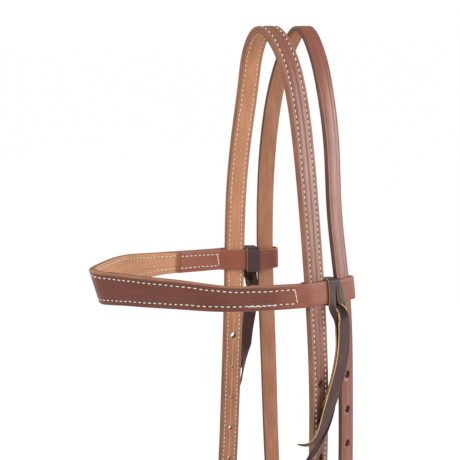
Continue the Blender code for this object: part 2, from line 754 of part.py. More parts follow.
def wall_places():
    """Places along the middle of the band's wall, off side to near side, with heights."""
    near = [(out * BAND_SPREAD, -BAND_BEFORE_POLL - forward * BAND_REACH,
             -BAND_LEVEL + rise * BAND_RISE,
             BAND_LOOP_HEIGHT + (BAND_FRONT_HEIGHT - BAND_LOOP_HEIGHT) * height, BAND_LEAN * lean)
            for out, forward, rise, height, lean in band_outline_shares]
    curve = smooth_through([(-row[0], *row[1:]) for row in near[:0:-1]] + near)
    places = []
    for k in kept_samples(curve, len(curve) // 2, len(curve) - 1):
        along = unit(curve[min(k + 1, len(curve) - 1), :3] - curve[k - 1, :3])
        level = unit(np.cross(along, (0.0, 0.0, 1.0)))
        up = unit(np.cross(level, along) * math.cos(curve[k, 4]) + level * math.sin(curve[k, 4]))
        places.append((Place(curve[k, :3], along, up, np.cross(along, up)), curve[k, 3]))
    return [(mirrored_place(place), height) for place, height in places[:0:-1]] + places


def browband():
    """Lining, and the outer ply whose ends fold round the straps and come back as tabs."""
    wall = wall_places()
    to_outer = (BAND_LINING + GAP) / 2
    to_lining = -(BAND_OUTER + GAP) / 2
    to_tab = -(BAND_OUTER + GAP + BAND_LINING) / 2 - GAP - BAND_OUTER / 2
    strap("browband_lining", [upright_edge(place, height, to_lining) for place, height in wall],
          BAND_LINING, "lining leather")
    half_crown = CROWN_WIDTH / 2
    half_throat = THROAT_WIDTH / 2
    loop = [loop_edge(crown_in_loop, -half_crown, CROWN_CLEAR),
            loop_edge(crown_in_loop, half_crown, CROWN_CLEAR),
            loop_edge(throat_in_loop, -half_throat, THROAT_CLEAR)]
    for k in range(TURN_STEPS + 1):
        angle = math.pi * k / TURN_STEPS
        loop.append(loop_edge(throat_in_loop, half_throat + THROAT_CLEAR * math.sin(angle),
                              THROAT_CLEAR * math.cos(angle)))
    loop += [loop_edge(throat_in_loop, -half_throat, -THROAT_CLEAR),
             loop_edge(crown_in_loop, half_crown, -CROWN_CLEAR),
             loop_edge(crown_in_loop, -half_crown, -CROWN_CLEAR)]
    tab = []
    run = 0.0
    previous = wall[-1][0].origin
    for place, height in wall[::-1]:
        run += float(np.linalg.norm(place.origin - previous))
        previous = place.origin
        if run > BAND_TAB:
            break
        tab.append(upright_edge(place, height - BAND_TAB_TRIM, to_tab))
    near = loop + tab
    middle = [upright_edge(place, height, to_outer) for place, height in wall]
    strap("browband_outer_ply", mirrored_edges(near)[::-1] + middle + near, BAND_OUTER,
          "browband leather")


# Latigo ties

def waist_place():
    """Place between the two straps inside the near loop, facing out."""
    front = world(crown_in_loop, CROWN_WIDTH / 2, -CROWN_WIDTH / 2 * BAND_LOOP_FALL)
    rear = world(throat_in_loop, -THROAT_WIDTH / 2, THROAT_WIDTH / 2 * BAND_LOOP_FALL)
    back = unit(rear - front)
    up = unit(crown_in_loop.up + throat_in_loop.up)
    out = unit(np.cross(back, up))
    room = float(np.linalg.norm(rear - front))
    share = (room - TIE_WIDTH) / 2 / room
    return (Place((front + rear) / 2, back, up, out),
            CROWN_CLEAR + (THROAT_CLEAR - CROWN_CLEAR) * share)


def tail_edges(start, shares, sway):
    """Cross edges of one hanging end of a thong, from the knot to its tip."""
    x, y, z = start.origin
    rows = [(x, y, z, TAIL_TOP_WIDTH)]
    rows += [(x + (outward + curl * sway) * TAIL_STANDOFF, y - forward * TAIL_SWEEP * sway,
              z - down * TAIL_DROP, TIE_WIDTH * width)
             for down, forward, outward, curl, width in shares]
    curve = smooth_through(rows)
    edges = [cross_edge(start, TAIL_TOP_WIDTH)]
    for k in kept_samples(curve, 0, len(curve) - 1)[1:]:
        along = unit(curve[min(k + 1, len(curve) - 1), :3] - curve[k - 1, :3])
        side = unit(np.cross(start.out, along)) * curve[k, 3] / 2
        edges.append((curve[k, :3] - side, curve[k, :3] + side))
    return edges


def wrap_edges(waist, out, up, inner_end, low):
    """Cross edges of the thong round a loop; its two ends go down into the knot."""
    entry = low + KNOT_WIDTH
    beside = moved(waist, across=KNOT_DRIFT)
    turns = rounded([(out, -up), (out, up), (-out, up), (-out, -up), (inner_end, -up),
                     (inner_end, entry)], [TIE_CORNER] * 6, closed=False)
    edges = [cross_edge(beside, TIE_WIDTH, low, out), cross_edge(beside, TIE_WIDTH, entry, out)]
    edges += [cross_edge(waist, TIE_WIDTH, at_up, at_out) for at_out, at_up in turns[:-1]]
    return edges + [cross_edge(beside, TIE_WIDTH, entry, inner_end),
                    cross_edge(beside, TIE_WIDTH, low, inner_end)]


def tie(side, sway):
    """A thong round one loop: the wrap, its knot and the two hanging ends."""
    waist, leg = waist_place()
    out = leg + BAND_OUTER / 2 + GAP + TIE_PLY / 2
    up = BAND_LOOP_HEIGHT / 2 + GAP + TIE_PLY / 2
    low = -up - TIE_END_LAP - KNOT_WIDTH / 2
    half_pair = (TIE_PLY + GAP) / 2
    wrap = wrap_edges(waist, out, up, out - 2 * half_pair, low)
    knot = moved(waist, KNOT_DRIFT, low + KNOT_WIDTH / 2, out - half_pair)
    half_across = (TIE_WIDTH + TIE_PLY) / 2 + KNOT_ROOM
    half_out = half_pair + TIE_PLY + KNOT_ROOM
    ring = rounded([(-half_across, -half_out), (half_across, -half_out),
                    (half_across, half_out), (-half_across, half_out)], [TIE_CORNER] * 4)
    band = [upright_edge(moved(knot, across=across), KNOT_WIDTH, away) for across, away in ring]
    leave = moved(knot, up=-KNOT_WIDTH / 2 - TAIL_GAP)
    front = tail_edges(moved(leave, out=half_pair), front_tail_shares, sway)
    back = tail_edges(moved(leave, out=-half_pair), back_tail_shares, sway)
    hinge = world(leave, out=half_pair + TIE_PLY / 2)
    if side == "off":
        wrap, band, front, back = (mirrored_edges(edges) for edges in (wrap, band, front, back))
        hinge = mirrored(hinge)
    finish = "latigo leather"
    strap(side + "_tie_wrap", wrap, TIE_PLY, finish, THIN_EDGE_ROUND)
    strap(side + "_tie_knot", band, TIE_PLY, finish, THIN_EDGE_ROUND, closed=True)
    strap(side + "_tie_front_tail", front, TIE_PLY, finish, THIN_EDGE_ROUND, origin=hinge)
    strap(side + "_tie_back_tail", back, TIE_PLY, finish, THIN_EDGE_ROUND, origin=hinge)


# Cheek straps

def bit_fold_centre():
    """Height and depth of the bit fold's middle from the heel bar."""
    _, middle, _ = bar_fold(CHEEK_BUCKLE)
    return -CHEEK_LENGTH, middle - BIT_ROOM - CHEEK_PLY / 2


def cheek(side, heel):
    """A cheek strap with its buckle, keepers and bit screw."""
    buckle = CHEEK_BUCKLE
    lap, middle, fold = bar_fold(buckle)
    centre_up, centre_out = bit_fold_centre()
    radius = BIT_ROOM + CHEEK_PLY / 2
    path = [(-CHEEK_BUTT, lap)] + fold
    path += [(centre_up - radius * math.sin(math.pi * k / BIT_FOLD_STEPS),
              centre_out + radius * math.cos(math.pi * k / BIT_FOLD_STEPS))
             for k in range(BIT_FOLD_STEPS + 1)]
    path += [(centre_up + FOLD_BLEND * k / BLEND_STEPS,
              blend(centre_out - radius, lap, k / BLEND_STEPS)) for k in range(1, BLEND_STEPS + 1)]
    path += [(-CHEEK_BUTT - CHEEK_BUTT_GAP, lap)]
    edges = [cross_edge(heel, CHEEK_WIDTH, up, out) for up, out in path]
    piece = strap(side + "_cheek_strap", edges, CHEEK_PLY, "bridle leather")
    tongue_slot(piece, heel, buckle, side + "_cheek_slot")
    screw = moved(heel, up=centre_up + BIT_SCREW_UP, out=middle + CHEEK_PLY / 2)
    hole = 2 * (SCREW_POST_RADIUS + GAP)
    through = 2 * (2 * CHEEK_PLY + GAP + OVERRUN)
    cut(piece, side + "_cheek_screw_hole", oval_punch([(screw, hole, hole)], through))
    fittings(side + "_cheek", heel, buckle)
    bit_screw(side, screw)


def bit_screw(side, face):
    """Post and cap that close the bit fold; the post's head is on the outside."""
    stack = 2 * CHEEK_PLY + GAP
    length = stack + GAP
    head = [(0.0, SCREW_HEAD), (SCREW_HEAD_RADIUS - EDGE_ROUND, SCREW_HEAD),
            (SCREW_HEAD_RADIUS, SCREW_HEAD - EDGE_ROUND), (SCREW_HEAD_RADIUS, 0.0)]
    post = head + [(SCREW_POST_RADIUS, 0.0), (SCREW_POST_RADIUS, -length),
                   (SCREW_BORE_RADIUS, -length), (SCREW_BORE_RADIUS, -SCREW_BORE_FLOOR),
                   (0.0, -SCREW_BORE_FLOOR)]
    turned(side + "_bit_screw_post", post, "stainless steel", moved(face, out=GAP))
    shank = length - SCREW_BORE_FLOOR - GAP
    cap = [(0.0, shank), (SCREW_SHANK_RADIUS, shank), (SCREW_SHANK_RADIUS, -GAP)]
    cap += [(SCREW_HEAD_RADIUS, -GAP), (SCREW_HEAD_RADIUS, EDGE_ROUND - SCREW_HEAD - GAP),
            (SCREW_HEAD_RADIUS - EDGE_ROUND, -SCREW_HEAD - GAP), (0.0, -SCREW_HEAD - GAP)]
    turned(side + "_bit_screw_cap", cap, "stainless steel", moved(face, out=GAP - length))


def clear_scene():
    """Remove what the file starts with."""
    for item in list(bpy.data.objects):
        bpy.data.objects.remove(item, do_unlink=True)


def new_collection(name):
    """A collection linked to the scene."""
    collection = bpy.data.collections.new(name)
    bpy.context.scene.collection.children.link(collection)
    return collection


clear_scene()
parts = new_collection("western headstall")
cutters = new_collection("cutters")
crown()
throatlatch()
browband()
tie("near", 1.0)
tie("off", OFF_TAIL_SWAY_SHARE)
cheek("near", cheek_heel)
cheek("off", mirrored_place(cheek_heel))
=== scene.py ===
# %% [markdown]
# # A western headstall, cut, sewn and hung up
#
# A headstall is nothing but straps: long bands of leather that are cut flat, punched,
# creased and sewn, and only then bent over the horse's head.  This lesson works in the
# saddler's order.  Every piece is cut on a flat pattern, where its width, its holes and its
# stitches are easy to say in millimetres, and at the end it is carried to the line that it
# follows on the head.  The other way, modelling each bent strap in place, would put
# every stitch and every grain line into a curved space of its own.
#
# The frame that everything has to fit is the CAD model; its buckles, screws and lengths are
# the real sizes here.  Metres, +Z up, +X the horse's left (near) side, -Y the forehead.
import math
from collections import namedtuple

import bmesh
import bpy
import numpy as np
from mathutils import Matrix, Vector


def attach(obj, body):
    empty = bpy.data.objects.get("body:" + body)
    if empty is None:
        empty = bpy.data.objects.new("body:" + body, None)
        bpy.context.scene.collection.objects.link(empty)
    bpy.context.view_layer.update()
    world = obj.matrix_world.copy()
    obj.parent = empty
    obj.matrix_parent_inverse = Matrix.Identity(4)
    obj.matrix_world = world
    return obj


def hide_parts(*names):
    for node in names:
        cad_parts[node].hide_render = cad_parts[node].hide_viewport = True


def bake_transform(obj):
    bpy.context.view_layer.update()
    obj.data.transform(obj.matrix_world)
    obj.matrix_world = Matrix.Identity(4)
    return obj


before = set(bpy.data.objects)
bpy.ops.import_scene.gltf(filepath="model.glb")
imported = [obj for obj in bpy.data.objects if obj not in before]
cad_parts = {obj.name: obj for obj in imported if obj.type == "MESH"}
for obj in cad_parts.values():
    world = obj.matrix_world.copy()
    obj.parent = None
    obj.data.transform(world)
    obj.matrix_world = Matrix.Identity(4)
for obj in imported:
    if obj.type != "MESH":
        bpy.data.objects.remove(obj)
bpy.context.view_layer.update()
scene = bpy.context.scene
scene.view_settings.view_transform = "Standard"

# %% [markdown]
# ## The lines that the straps follow
#
# The saddler measures a head with a tape.  Here the tape is a table: how far down, out and
# back a strap has come, as shares of its whole drop and spread.  A natural cubic curve goes
# through the points, because that is the shape a springy strip takes when it is
# held at a few places.  The tables are the CAD model's own, so the leather lies where the
# frame says.

# %% Sizes
GAP = 0.0003
CROWN_WIDTH = 0.01905
CROWN_PLY = 0.00255
CROWN_DROP = 0.420
CROWN_SPREAD = 0.0753
THROAT_WIDTH = 0.0159
THROAT_PLY = 0.0040
THROAT_DROP = 0.415
THROAT_SPREAD = 0.0614
THROAT_BEHIND = 0.0369
THROAT_TURNBACK = 0.034
JAW_DROP = 0.116
JAW_JOIN = 0.057
BAND_OUTER = 0.0024
BAND_LINING = 0.0025
BAND_FRONT_HEIGHT = 0.0293
BAND_LOOP_HEIGHT = 0.0198
BAND_LOOP_FALL = 0.09
BAND_BEFORE_POLL = 0.0120
BAND_LEVEL = 0.2112
TAB_LENGTH = 0.0475
TIE_WIDTH = 0.0127
TIE_PLY = 0.0016
TAIL_DROP = 0.113
TAIL_SWEEP = 0.044
TAIL_STANDOFF = 0.0137
OFF_TAIL_SWAY_SHARE = 0.27
CHEEK_WIDTH = 0.01905
CHEEK_PLY = 0.0024
LOOP_GAP = 0.0004
HOLE_WIDTH = 0.0060
HOLE_LENGTH = 0.0074
HOLE_PITCH = 0.0335
HOLE_PLAY = 0.0006
CROWN_FIRST_HOLE = 0.292
THROAT_FIRST_HOLE = 0.2945
STATION_REACH = 0.026
POLL_LIFT = CROWN_PLY + GAP / 2

crown_shares = (  # down, out, back, twist
    (0.0, 0.0, 0.0, 0.0), (0.036, 0.291, 0.40, 0.25), (0.107, 0.470, 1.0, 0.45),
    (0.214, 0.628, 0.95, 0.70), (0.357, 0.772, 0.70, 0.90), (0.524, 0.870, 0.95, 0.94),
    (0.714, 0.950, 0.90, 0.98), (0.905, 0.991, 0.16, 1.0), (1.0, 1.0, -0.40, 1.0))
throat_shares = (
    (0.0, 0.0, 0.0, 0.0), (0.036, 0.303, -0.14, 0.0), (0.108, 0.557, -0.48, 0.25),
    (0.217, 0.759, -0.74, 0.70), (0.361, 0.870, -0.94, 1.0), (0.530, 0.993, -0.16, 0.98),
    (0.723, 1.021, 0.54, 0.98), (0.916, 1.013, 0.90, 0.85), (1.0, 1.0, 1.0, 0.60))
jaw_shares = ((0.29, 0.950), (0.67, 0.810), (0.92, 0.480))  # down, out
band_shares = (  # out, forward, rise, height, lean
    (0.0, 0.993, 1.0, 1.0, 1.0), (0.064, 0.988, 0.998, 0.95, 0.98),
    (0.124, 0.969, 0.994, 0.90, 0.96), (0.188, 0.939, 0.988, 0.85, 0.93),
    (0.342, 0.866, 0.953, 0.71, 0.85), (0.494, 0.787, 0.899, 0.58, 0.75),
    (0.625, 0.700, 0.822, 0.45, 0.60), (0.736, 0.607, 0.692, 0.31, 0.45),
    (0.831, 0.511, 0.544, 0.17, 0.33), (0.902, 0.411, 0.414, 0.05, 0.22),
    (0.941, 0.307, 0.302, 0.01, 0.12), (0.967, 0.202, 0.189, 0.0, 0.04),
    (0.986, 0.097, 0.089, 0.0, -0.12), (1.0, 0.0, 0.0, 0.0, -0.30))
short_end_shares = (  # down, forward, outward, curl outward with the sway, width
    (0.19, -0.08, 0.12, 0.0, 1.0), (0.33, 0.02, 0.30, 0.0, 1.0), (0.47, 0.18, 0.49, 0.0, 1.0),
    (0.58, 0.31, 0.58, 0.0, 0.97), (0.68, 0.44, 0.67, 0.0, 0.85), (0.77, 0.56, 0.72, 0.02, 0.68),
    (0.825, 0.70, 0.76, 0.10, 0.46), (0.85, 0.88, 0.78, 0.22, 0.28),
    (0.84, 1.07, 0.78, 0.34, 0.19), (0.81, 1.25, 0.78, 0.44, 0.09))
long_end_shares = (
    (0.07, -0.07, 0.02, 0.0, 1.0), (0.19, -0.07, 0.10, 0.0, 1.0), (0.33, 0.02, 0.26, 0.0, 1.0),
    (0.47, 0.16, 0.43, 0.0, 1.0), (0.58, 0.27, 0.48, 0.0, 1.0), (0.69, 0.37, 0.52, 0.0, 0.95),
    (0.80, 0.47, 0.56, 0.0, 0.80), (0.91, 0.61, 0.64, 0.0, 0.56), (0.99, 0.80, 0.74, 0.0, 0.36),
    (1.04, 1.02, 0.82, 0.0, 0.12))
print(f"tables: {len(crown_shares)} crown, {len(throat_shares)} throatlatch and "
      f"{len(band_shares)} browband rows")

# %% Places and routes
Place = namedtuple("Place", "origin across up out")
Route = namedtuple("Route", "length middle across out")
PER_SPAN = 24  # samples between two rows of a table
SAME_POINT = 1e-7
FLIP = np.array((-1.0, 1.0, 1.0))  # to the other side of the head


def unit(vector):
    """The vector at length one."""
    return vector / np.linalg.norm(vector)


def moved(place, across=0.0, up=0.0, out=0.0):
    """The same directions at another point."""
    return place._replace(origin=place.origin + place.across * across + place.up * up
                          + place.out * out)


def smooth_through(rows):
    """Natural cubic curve through rows of numbers, of which the first three are a point."""
    rows = np.array(rows, dtype=float)
    spans = np.linalg.norm(np.diff(rows[:, :3], axis=0), axis=1)
    slopes = np.diff(rows, axis=0) / spans[:, None]
    system = np.eye(len(rows))
    target = np.zeros_like(rows)
    for k in range(1, len(rows) - 1):
        system[k, k - 1:k + 2] = spans[k - 1], 2 * (spans[k - 1] + spans[k]), spans[k]
        target[k] = 6 * (slopes[k] - slopes[k - 1])
    bend = np.linalg.solve(system, target)
    ahead = np.arange(PER_SPAN)[:, None] / PER_SPAN
    pieces = [(1 - ahead) * rows[k] + ahead * rows[k + 1]
              + (((1 - ahead) ** 3 - (1 - ahead)) * bend[k]
                 + (ahead ** 3 - ahead) * bend[k + 1]) * span ** 2 / 6
              for k, span in enumerate(spans)]
    return np.vstack(pieces + [rows[-1:]])


def place_at(row, along):
    """Place at a strap's row: up is back along the strap, out is its grain side."""
    along = unit(np.array(along))
    across = np.array((row[3], math.sqrt(1 - row[3] ** 2), 0.0))
    across = unit(across - along * (across @ along))
    return Place(np.array(row[:3]), across, -along, np.cross(along, across))


def place_on(curve, k):
    """Place on a strap at a sample."""
    return place_at(curve[k], curve[min(k + 1, len(curve) - 1), :3] - curve[max(k - 1, 0), :3])


def run_of(points):
    """Distance along a row of points at each of them."""
    return np.concatenate(((0.0,), np.cumsum(np.linalg.norm(np.diff(points, axis=0), axis=1))))


def route(middles, acrosses, hand=1):
    """A line for leather: its middle, the direction across it and its grain side."""
    middles = np.array(middles)
    steps = np.linalg.norm(np.diff(middles, axis=0), axis=1)
    keep = np.concatenate(((True,), steps > SAME_POINT))
    middles = middles[keep]
    acrosses = np.array(acrosses)[keep]
    length = run_of(middles)
    outs = np.cross(np.gradient(middles, length, axis=0), acrosses) * hand
    return Route(length, middles, acrosses, outs / np.linalg.norm(outs, axis=1)[:, None])


def reach_of(line, point):
    """Distance along a route where it passes a point."""
    return float(line.length[np.argmin(np.linalg.norm(line.middle - point, axis=1))])


def on_side(line, side):
    """A route of the near side, on its own side of the head."""
    if side == "near":
        return line
    return line._replace(middle=line.middle * FLIP, across=line.across * FLIP, out=line.out * FLIP)


def head_rows(shares, drop, spread, behind, setback, twist, out_slope, back_slope):
    """Rows of a strap's middle, off side to near side: point and sideways twist."""
    near = [(out * spread, behind + back * setback, POLL_LIFT - down * drop,
             math.sin(-twist * turn)) for down, out, back, turn in shares]
    x, y, z, turn = near[-1]
    near.append((x + out_slope * STATION_REACH, y + back_slope * STATION_REACH, z - STATION_REACH,
                 turn))
    return [(-x, y, z, -turn) for x, y, z, turn in near[:0:-1]] + near


def below_poll(curve, knee, drop):
    """Place on the near side of a strap at a distance below the poll."""
    if drop > -knee.origin[2]:
        return moved(knee, up=(-drop - knee.origin[2]) / knee.up[2])
    middle = len(curve) // 2
    place = place_on(curve, middle + int(np.argmin(np.abs(curve[middle:, 2] + drop))))
    return moved(place, up=(-drop - place.origin[2]) / place.up[2])


print("a route can be cut, measured and turned over")

# %% The two head straps
CROWN_SETBACK = 0.0038
CROWN_TWIST = math.radians(9.5)
CHEEK_SLOPES = (0.018, -0.060)
THROAT_SETBACK = 0.0050
THROAT_TWIST = math.radians(10.5)
THROAT_SLOPES = (-0.045, 0.020)
crown_rows = head_rows(crown_shares, CROWN_DROP, CROWN_SPREAD, 0.0, CROWN_SETBACK, CROWN_TWIST,
                       *CHEEK_SLOPES)
crown_curve = smooth_through(crown_rows)
crown_knee = place_at(crown_rows[-2], (*CHEEK_SLOPES, -1.0))
throat_rows = head_rows(throat_shares, THROAT_DROP, THROAT_SPREAD, THROAT_BEHIND,
                        THROAT_SETBACK, THROAT_TWIST, *THROAT_SLOPES)
throat_head = smooth_through(throat_rows)
throat_knee = place_at(throat_rows[-2], (*THROAT_SLOPES, -1.0))
print(f"over the poll: crown {run_of(crown_curve[:, :3])[-1]:.3f} m, "
      f"throatlatch {run_of(throat_head[:, :3])[-1]:.3f} m")

# %% Buckle sizes and where the straps meet them
Buckle = namedtuple("Buckle", "bar reach inner_width tongue strap strap_width billet")
CHEEK_BUCKLE = Buckle(0.00175, 0.028, 0.0205, 0.0011, CHEEK_PLY, CHEEK_WIDTH, 2 * CROWN_PLY + GAP)
THROAT_BUCKLE = Buckle(0.0016, 0.027, 0.0173, 0.0010, THROAT_PLY, THROAT_WIDTH, THROAT_PLY)
TONGUE_RISE = math.radians(58)
TONGUE_ROOM = math.radians(5)


def billet_inside(buckle):
    """Distance from the heel bar's middle out to the billet's inner face."""
    return buckle.bar + GAP + buckle.strap + GAP


def tongue_up(buckle, out):
    """How far above the heel bar the tongue's shank is at a distance out from it."""
    eye = buckle.bar + GAP + buckle.tongue
    shank = out + eye * math.cos(TONGUE_RISE)
    return eye * math.sin(TONGUE_RISE) + shank / math.tan(TONGUE_RISE)


def used_hole(buckle):
    """Lower and upper end of the hole that the tongue goes through, above the heel bar."""
    inside = billet_inside(buckle)
    half = buckle.tongue / math.sin(TONGUE_RISE) + HOLE_PLAY
    low = tongue_up(buckle, inside) - half - inside * math.sin(TONGUE_ROOM)
    return low, tongue_up(buckle, inside + buckle.billet) + half


def heel_place(curve, knee, buckle, drop):
    """Place at the middle of the heel bar, for a tongue in the hole at that drop."""
    low, high = used_hole(buckle)
    hole = below_poll(curve, knee, drop)
    return moved(hole, up=-(low + high) / 2, out=-(billet_inside(buckle) + buckle.billet / 2))


CROWN_USED_HOLE = 5
THROAT_USED_HOLE = 4
cheek_heel = heel_place(crown_curve, crown_knee, CHEEK_BUCKLE,
                        CROWN_FIRST_HOLE + CROWN_USED_HOLE * HOLE_PITCH)
throat_heel = heel_place(throat_head, throat_knee, THROAT_BUCKLE,
                         THROAT_FIRST_HOLE + THROAT_USED_HOLE * HOLE_PITCH)
print("heel bars at", np.round(cheek_heel.origin, 4), np.round(throat_heel.origin, 4))

# %% [markdown]
# ## Cutting on the flat
#
# A strap is its cross section, drawn once and carried along: a grid rolled up to the
# section's outline.  Edges, creases and stitch grooves are in that outline, so they run the
# whole length, as a creasing iron leaves them.  Sculpting them afterwards would
# never keep a groove parallel to an edge for a metre.

# %% Cross sections


def groove(share, offset, width, depth):
    """Points of a pressed groove in a face, at a share of the half width and an offset."""
    return [(share, offset + width * step, -depth * drop)
            for step, drop in ((-1, 0), (-0.5, 0.6), (0, 1), (0.5, 0.6), (1, 0))]


def cross_section(low, high, round_low, round_high, grain=(), flesh=()):
    """Closed outline of a strap: share of the half width, offset from there and height."""
    points = []
    for side, level, radius, start, between in (
            (-1, high, round_high, 6, grain), (1, high, round_high, 3, ()),
            (1, low, round_low, 0, flesh), (-1, low, round_low, -3, ())):
        toward = 1 if level == low else -1
        for k in range(4):
            angle = math.radians(30 * (start - k))
            points.append((side, -side * radius + radius * math.cos(angle),
                           level + toward * radius + radius * math.sin(angle)))
        points += [(share, offset, level - toward * rise) for share, offset, rise in between]
    return points


def round_section(radius, sides=16):
    """Outline of a round bar."""
    return [(0, radius * math.cos(math.tau * k / sides), -radius * math.sin(math.tau * k / sides))
            for k in range(sides)]


def edge_grooves(inset, width, depth, between=()):
    """Grooves at one distance inside both edges, and what lies between them."""
    return [*groove(-1, inset, width, depth), *between, *groove(1, -inset, width, depth)]


CROWN_STITCH_INSET = 0.0036
ridge = [(0, -0.0016, 0.00012), *groove(0, 0.0002, 0.0009, 0.00030), (0, 0.0020, 0.00012)]
section = cross_section(GAP / 2, GAP / 2 + CROWN_PLY, 0.0003, 0.0008,
                        edge_grooves(CROWN_STITCH_INSET, 0.0010, 0.00035, ridge))
print(f"crown section: {len(section)} points")

# %% Strips on the flat
TRIAL_STEP = 0.0004
LEAST_STEP = 0.00012


def at(line, reach):
    """Middle, across and grain side of a route at distances along it."""
    reach = np.asarray(reach, dtype=float)
    found = [np.stack([np.interp(reach, line.length, values[:, axis]) for axis in range(3)], -1)
             for values in (line.middle, line.across, line.out)]
    return found[0], *(values / np.linalg.norm(values, axis=-1, keepdims=True)
                       for values in found[1:])


def stations(line, reach=0.0030, turn=math.radians(5), tips=(0.0, 0.0)):
    """Distances along a route where the strip gets a cross section: closer where it bends."""
    fine = np.linspace(0, line.length[-1], int(line.length[-1] / TRIAL_STEP) + 2)
    _, across, out = at(line, fine)
    change = (np.linalg.norm(np.diff(across, axis=0), axis=1)
              + np.linalg.norm(np.diff(out, axis=0), axis=1))
    measure = np.concatenate(((0.0,), np.cumsum(change / turn + np.diff(fine) / reach)))
    found = np.interp(np.linspace(0, measure[-1], math.ceil(measure[-1]) + 1), measure, fine)
    round_tip = 1 - np.cos(np.radians(np.arange(0, 91, 7.5)))
    found = np.concatenate((found, tips[0] * round_tip, line.length[-1] - tips[1] * round_tip))
    found = np.unique(np.round(found, 6))
    return found[np.concatenate(((True,), np.diff(found) > LEAST_STEP))]


def tip_taper(line, tips, least=0.16):
    """Share of the width that a rounded tip leaves at a distance along."""
    def share(reach):
        left = 1.0
        for far, tip in zip((reach, line.length[-1] - reach), tips):
            if far < tip:
                left = min(left, max(least, math.sqrt(1 - (1 - max(far, 0.0) / tip) ** 2)))
        return left
    return share


def cut_strip(outline, reaches, half, taper=None, thin=None):
    """A strip on the flat: x across, y along, z to the grain side."""
    count = len(outline)
    last = len(reaches) - 1
    bm = bmesh.new()
    bmesh.ops.create_grid(bm, x_segments=count, y_segments=last, size=1)
    flat = bm.loops.layers.uv.new("flat")
    profile = bm.loops.layers.uv.new("profile")
    low = min(point[2] for point in outline)
    high = max(point[2] for point in outline)
    for vert in bm.verts:
        column = round((vert.co.x + 1) / 2 * count) % count
        reach = reaches[round((vert.co.y + 1) / 2 * last)]
        width = half(reach) if callable(half) else half
        share, offset, height = outline[column]
        spot = (share * width + offset) * (taper(reach) if taper else 1)
        side = (share * width + offset) / width
        vert.co = (spot, reach, height * (thin(reach) if thin else 1))
        for loop in vert.link_loops:
            loop[flat].uv = (spot, reach)
            loop[profile].uv = (side, (height - low) / (high - low) * 2 - 1)
    bmesh.ops.remove_doubles(bm, verts=bm.verts, dist=SAME_POINT)
    bmesh.ops.holes_fill(bm, edges=[edge for edge in bm.edges if edge.is_boundary])
    return bm


trial = cut_strip(section, (0.0, 0.01), CROWN_WIDTH / 2)
print(f"a strip between two stations has {len(trial.faces)} faces")
trial.free()

# %% From the flat to the head
SEAM = 2e-6


def carry(bm, line):
    """Bend what lies on the flat along its route."""
    flat = np.array([vert.co[:] for vert in bm.verts])
    middle, across, out = at(line, flat[:, 1])
    bent = middle + across * flat[:, :1] + out * flat[:, 2:]
    for vert, spot in zip(bm.verts, bent):
        vert.co = spot
    return bm


def mesh_of(name, bm, close=False):
    """The finished mesh of a piece."""
    if close:
        bmesh.ops.remove_doubles(bm, verts=bm.verts, dist=SEAM)
    bmesh.ops.recalc_face_normals(bm, faces=bm.faces)
    for face in bm.faces:
        face.smooth = True
    mesh = bpy.data.meshes.new(name)
    bm.to_mesh(mesh)
    bm.free()
    return mesh


def dressed(name, bm, materials, nodes, close=False):
    """Put a piece in the scene in place of its CAD nodes."""
    obj = bpy.data.objects.new(name, mesh_of(name, bm, close))
    scene.collection.objects.link(obj)
    for material in materials:
        obj.data.materials.append(material)
    if nodes:
        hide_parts(*nodes)
    return obj


def hang(name, bm, materials, body, slot, *nodes, close=False):
    """Put a piece in the scene and on its body."""
    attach(dressed(name, bm, materials, nodes, close), body)


print("pieces are made flat and hung on their bodies")

# %% Punching
PUNCH_SIDES = 28
PUNCH_SPARE = 0.3  # how far the punch stands out of each face, as a share of the thickness


def punched(bm, holes, wall, levels, closing=0.0):
    """The strip with oval holes punched on the flat: x, y, width and length of each.

    Leather closes up behind the punch, so towards the flesh side a hole may narrow."""
    low, high = levels
    strip = bpy.data.objects.new("strip", mesh_of("strip", bm))
    punch_bm = bmesh.new()
    for x, y, width, length in holes:
        bmesh.ops.create_cone(punch_bm, cap_ends=True, segments=PUNCH_SIDES,
                              radius1=1 - closing * (1 + PUNCH_SPARE),
                              radius2=1 + closing * PUNCH_SPARE,
                              depth=(high - low) * (1 + 2 * PUNCH_SPARE),
                              matrix=Matrix.Translation((x, y, (low + high) / 2))
                              @ Matrix.Diagonal((width / 2, length / 2, 1, 1)))
    punch = bpy.data.objects.new("punch", mesh_of("punch", punch_bm))
    for obj, material in ((strip, None), (punch, wall)):
        scene.collection.objects.link(obj)
        obj.data.materials.append(material)
    boolean = strip.modifiers.new("punch", "BOOLEAN")
    boolean.operation = "DIFFERENCE"
    boolean.solver = "EXACT"
    boolean.material_mode = "TRANSFER"
    boolean.object = punch
    result = bpy.data.meshes.new_from_object(
        strip.evaluated_get(bpy.context.evaluated_depsgraph_get()))
    cut = bmesh.new()
    cut.from_mesh(result)
    for obj in (strip, punch):
        bpy.data.objects.remove(obj)
    return cut


print(f"a punched hole has {PUNCH_SIDES} sides")

# %% Sewing
WANDER = 0.00014
TURN_WOBBLE = 0.06
LENGTH_WOBBLE = 0.08
# dark beads at each stitch's ends: painted shade of the awl holes
PIT_SINK = 0.00015
PIT_DEPTH = 0.00024


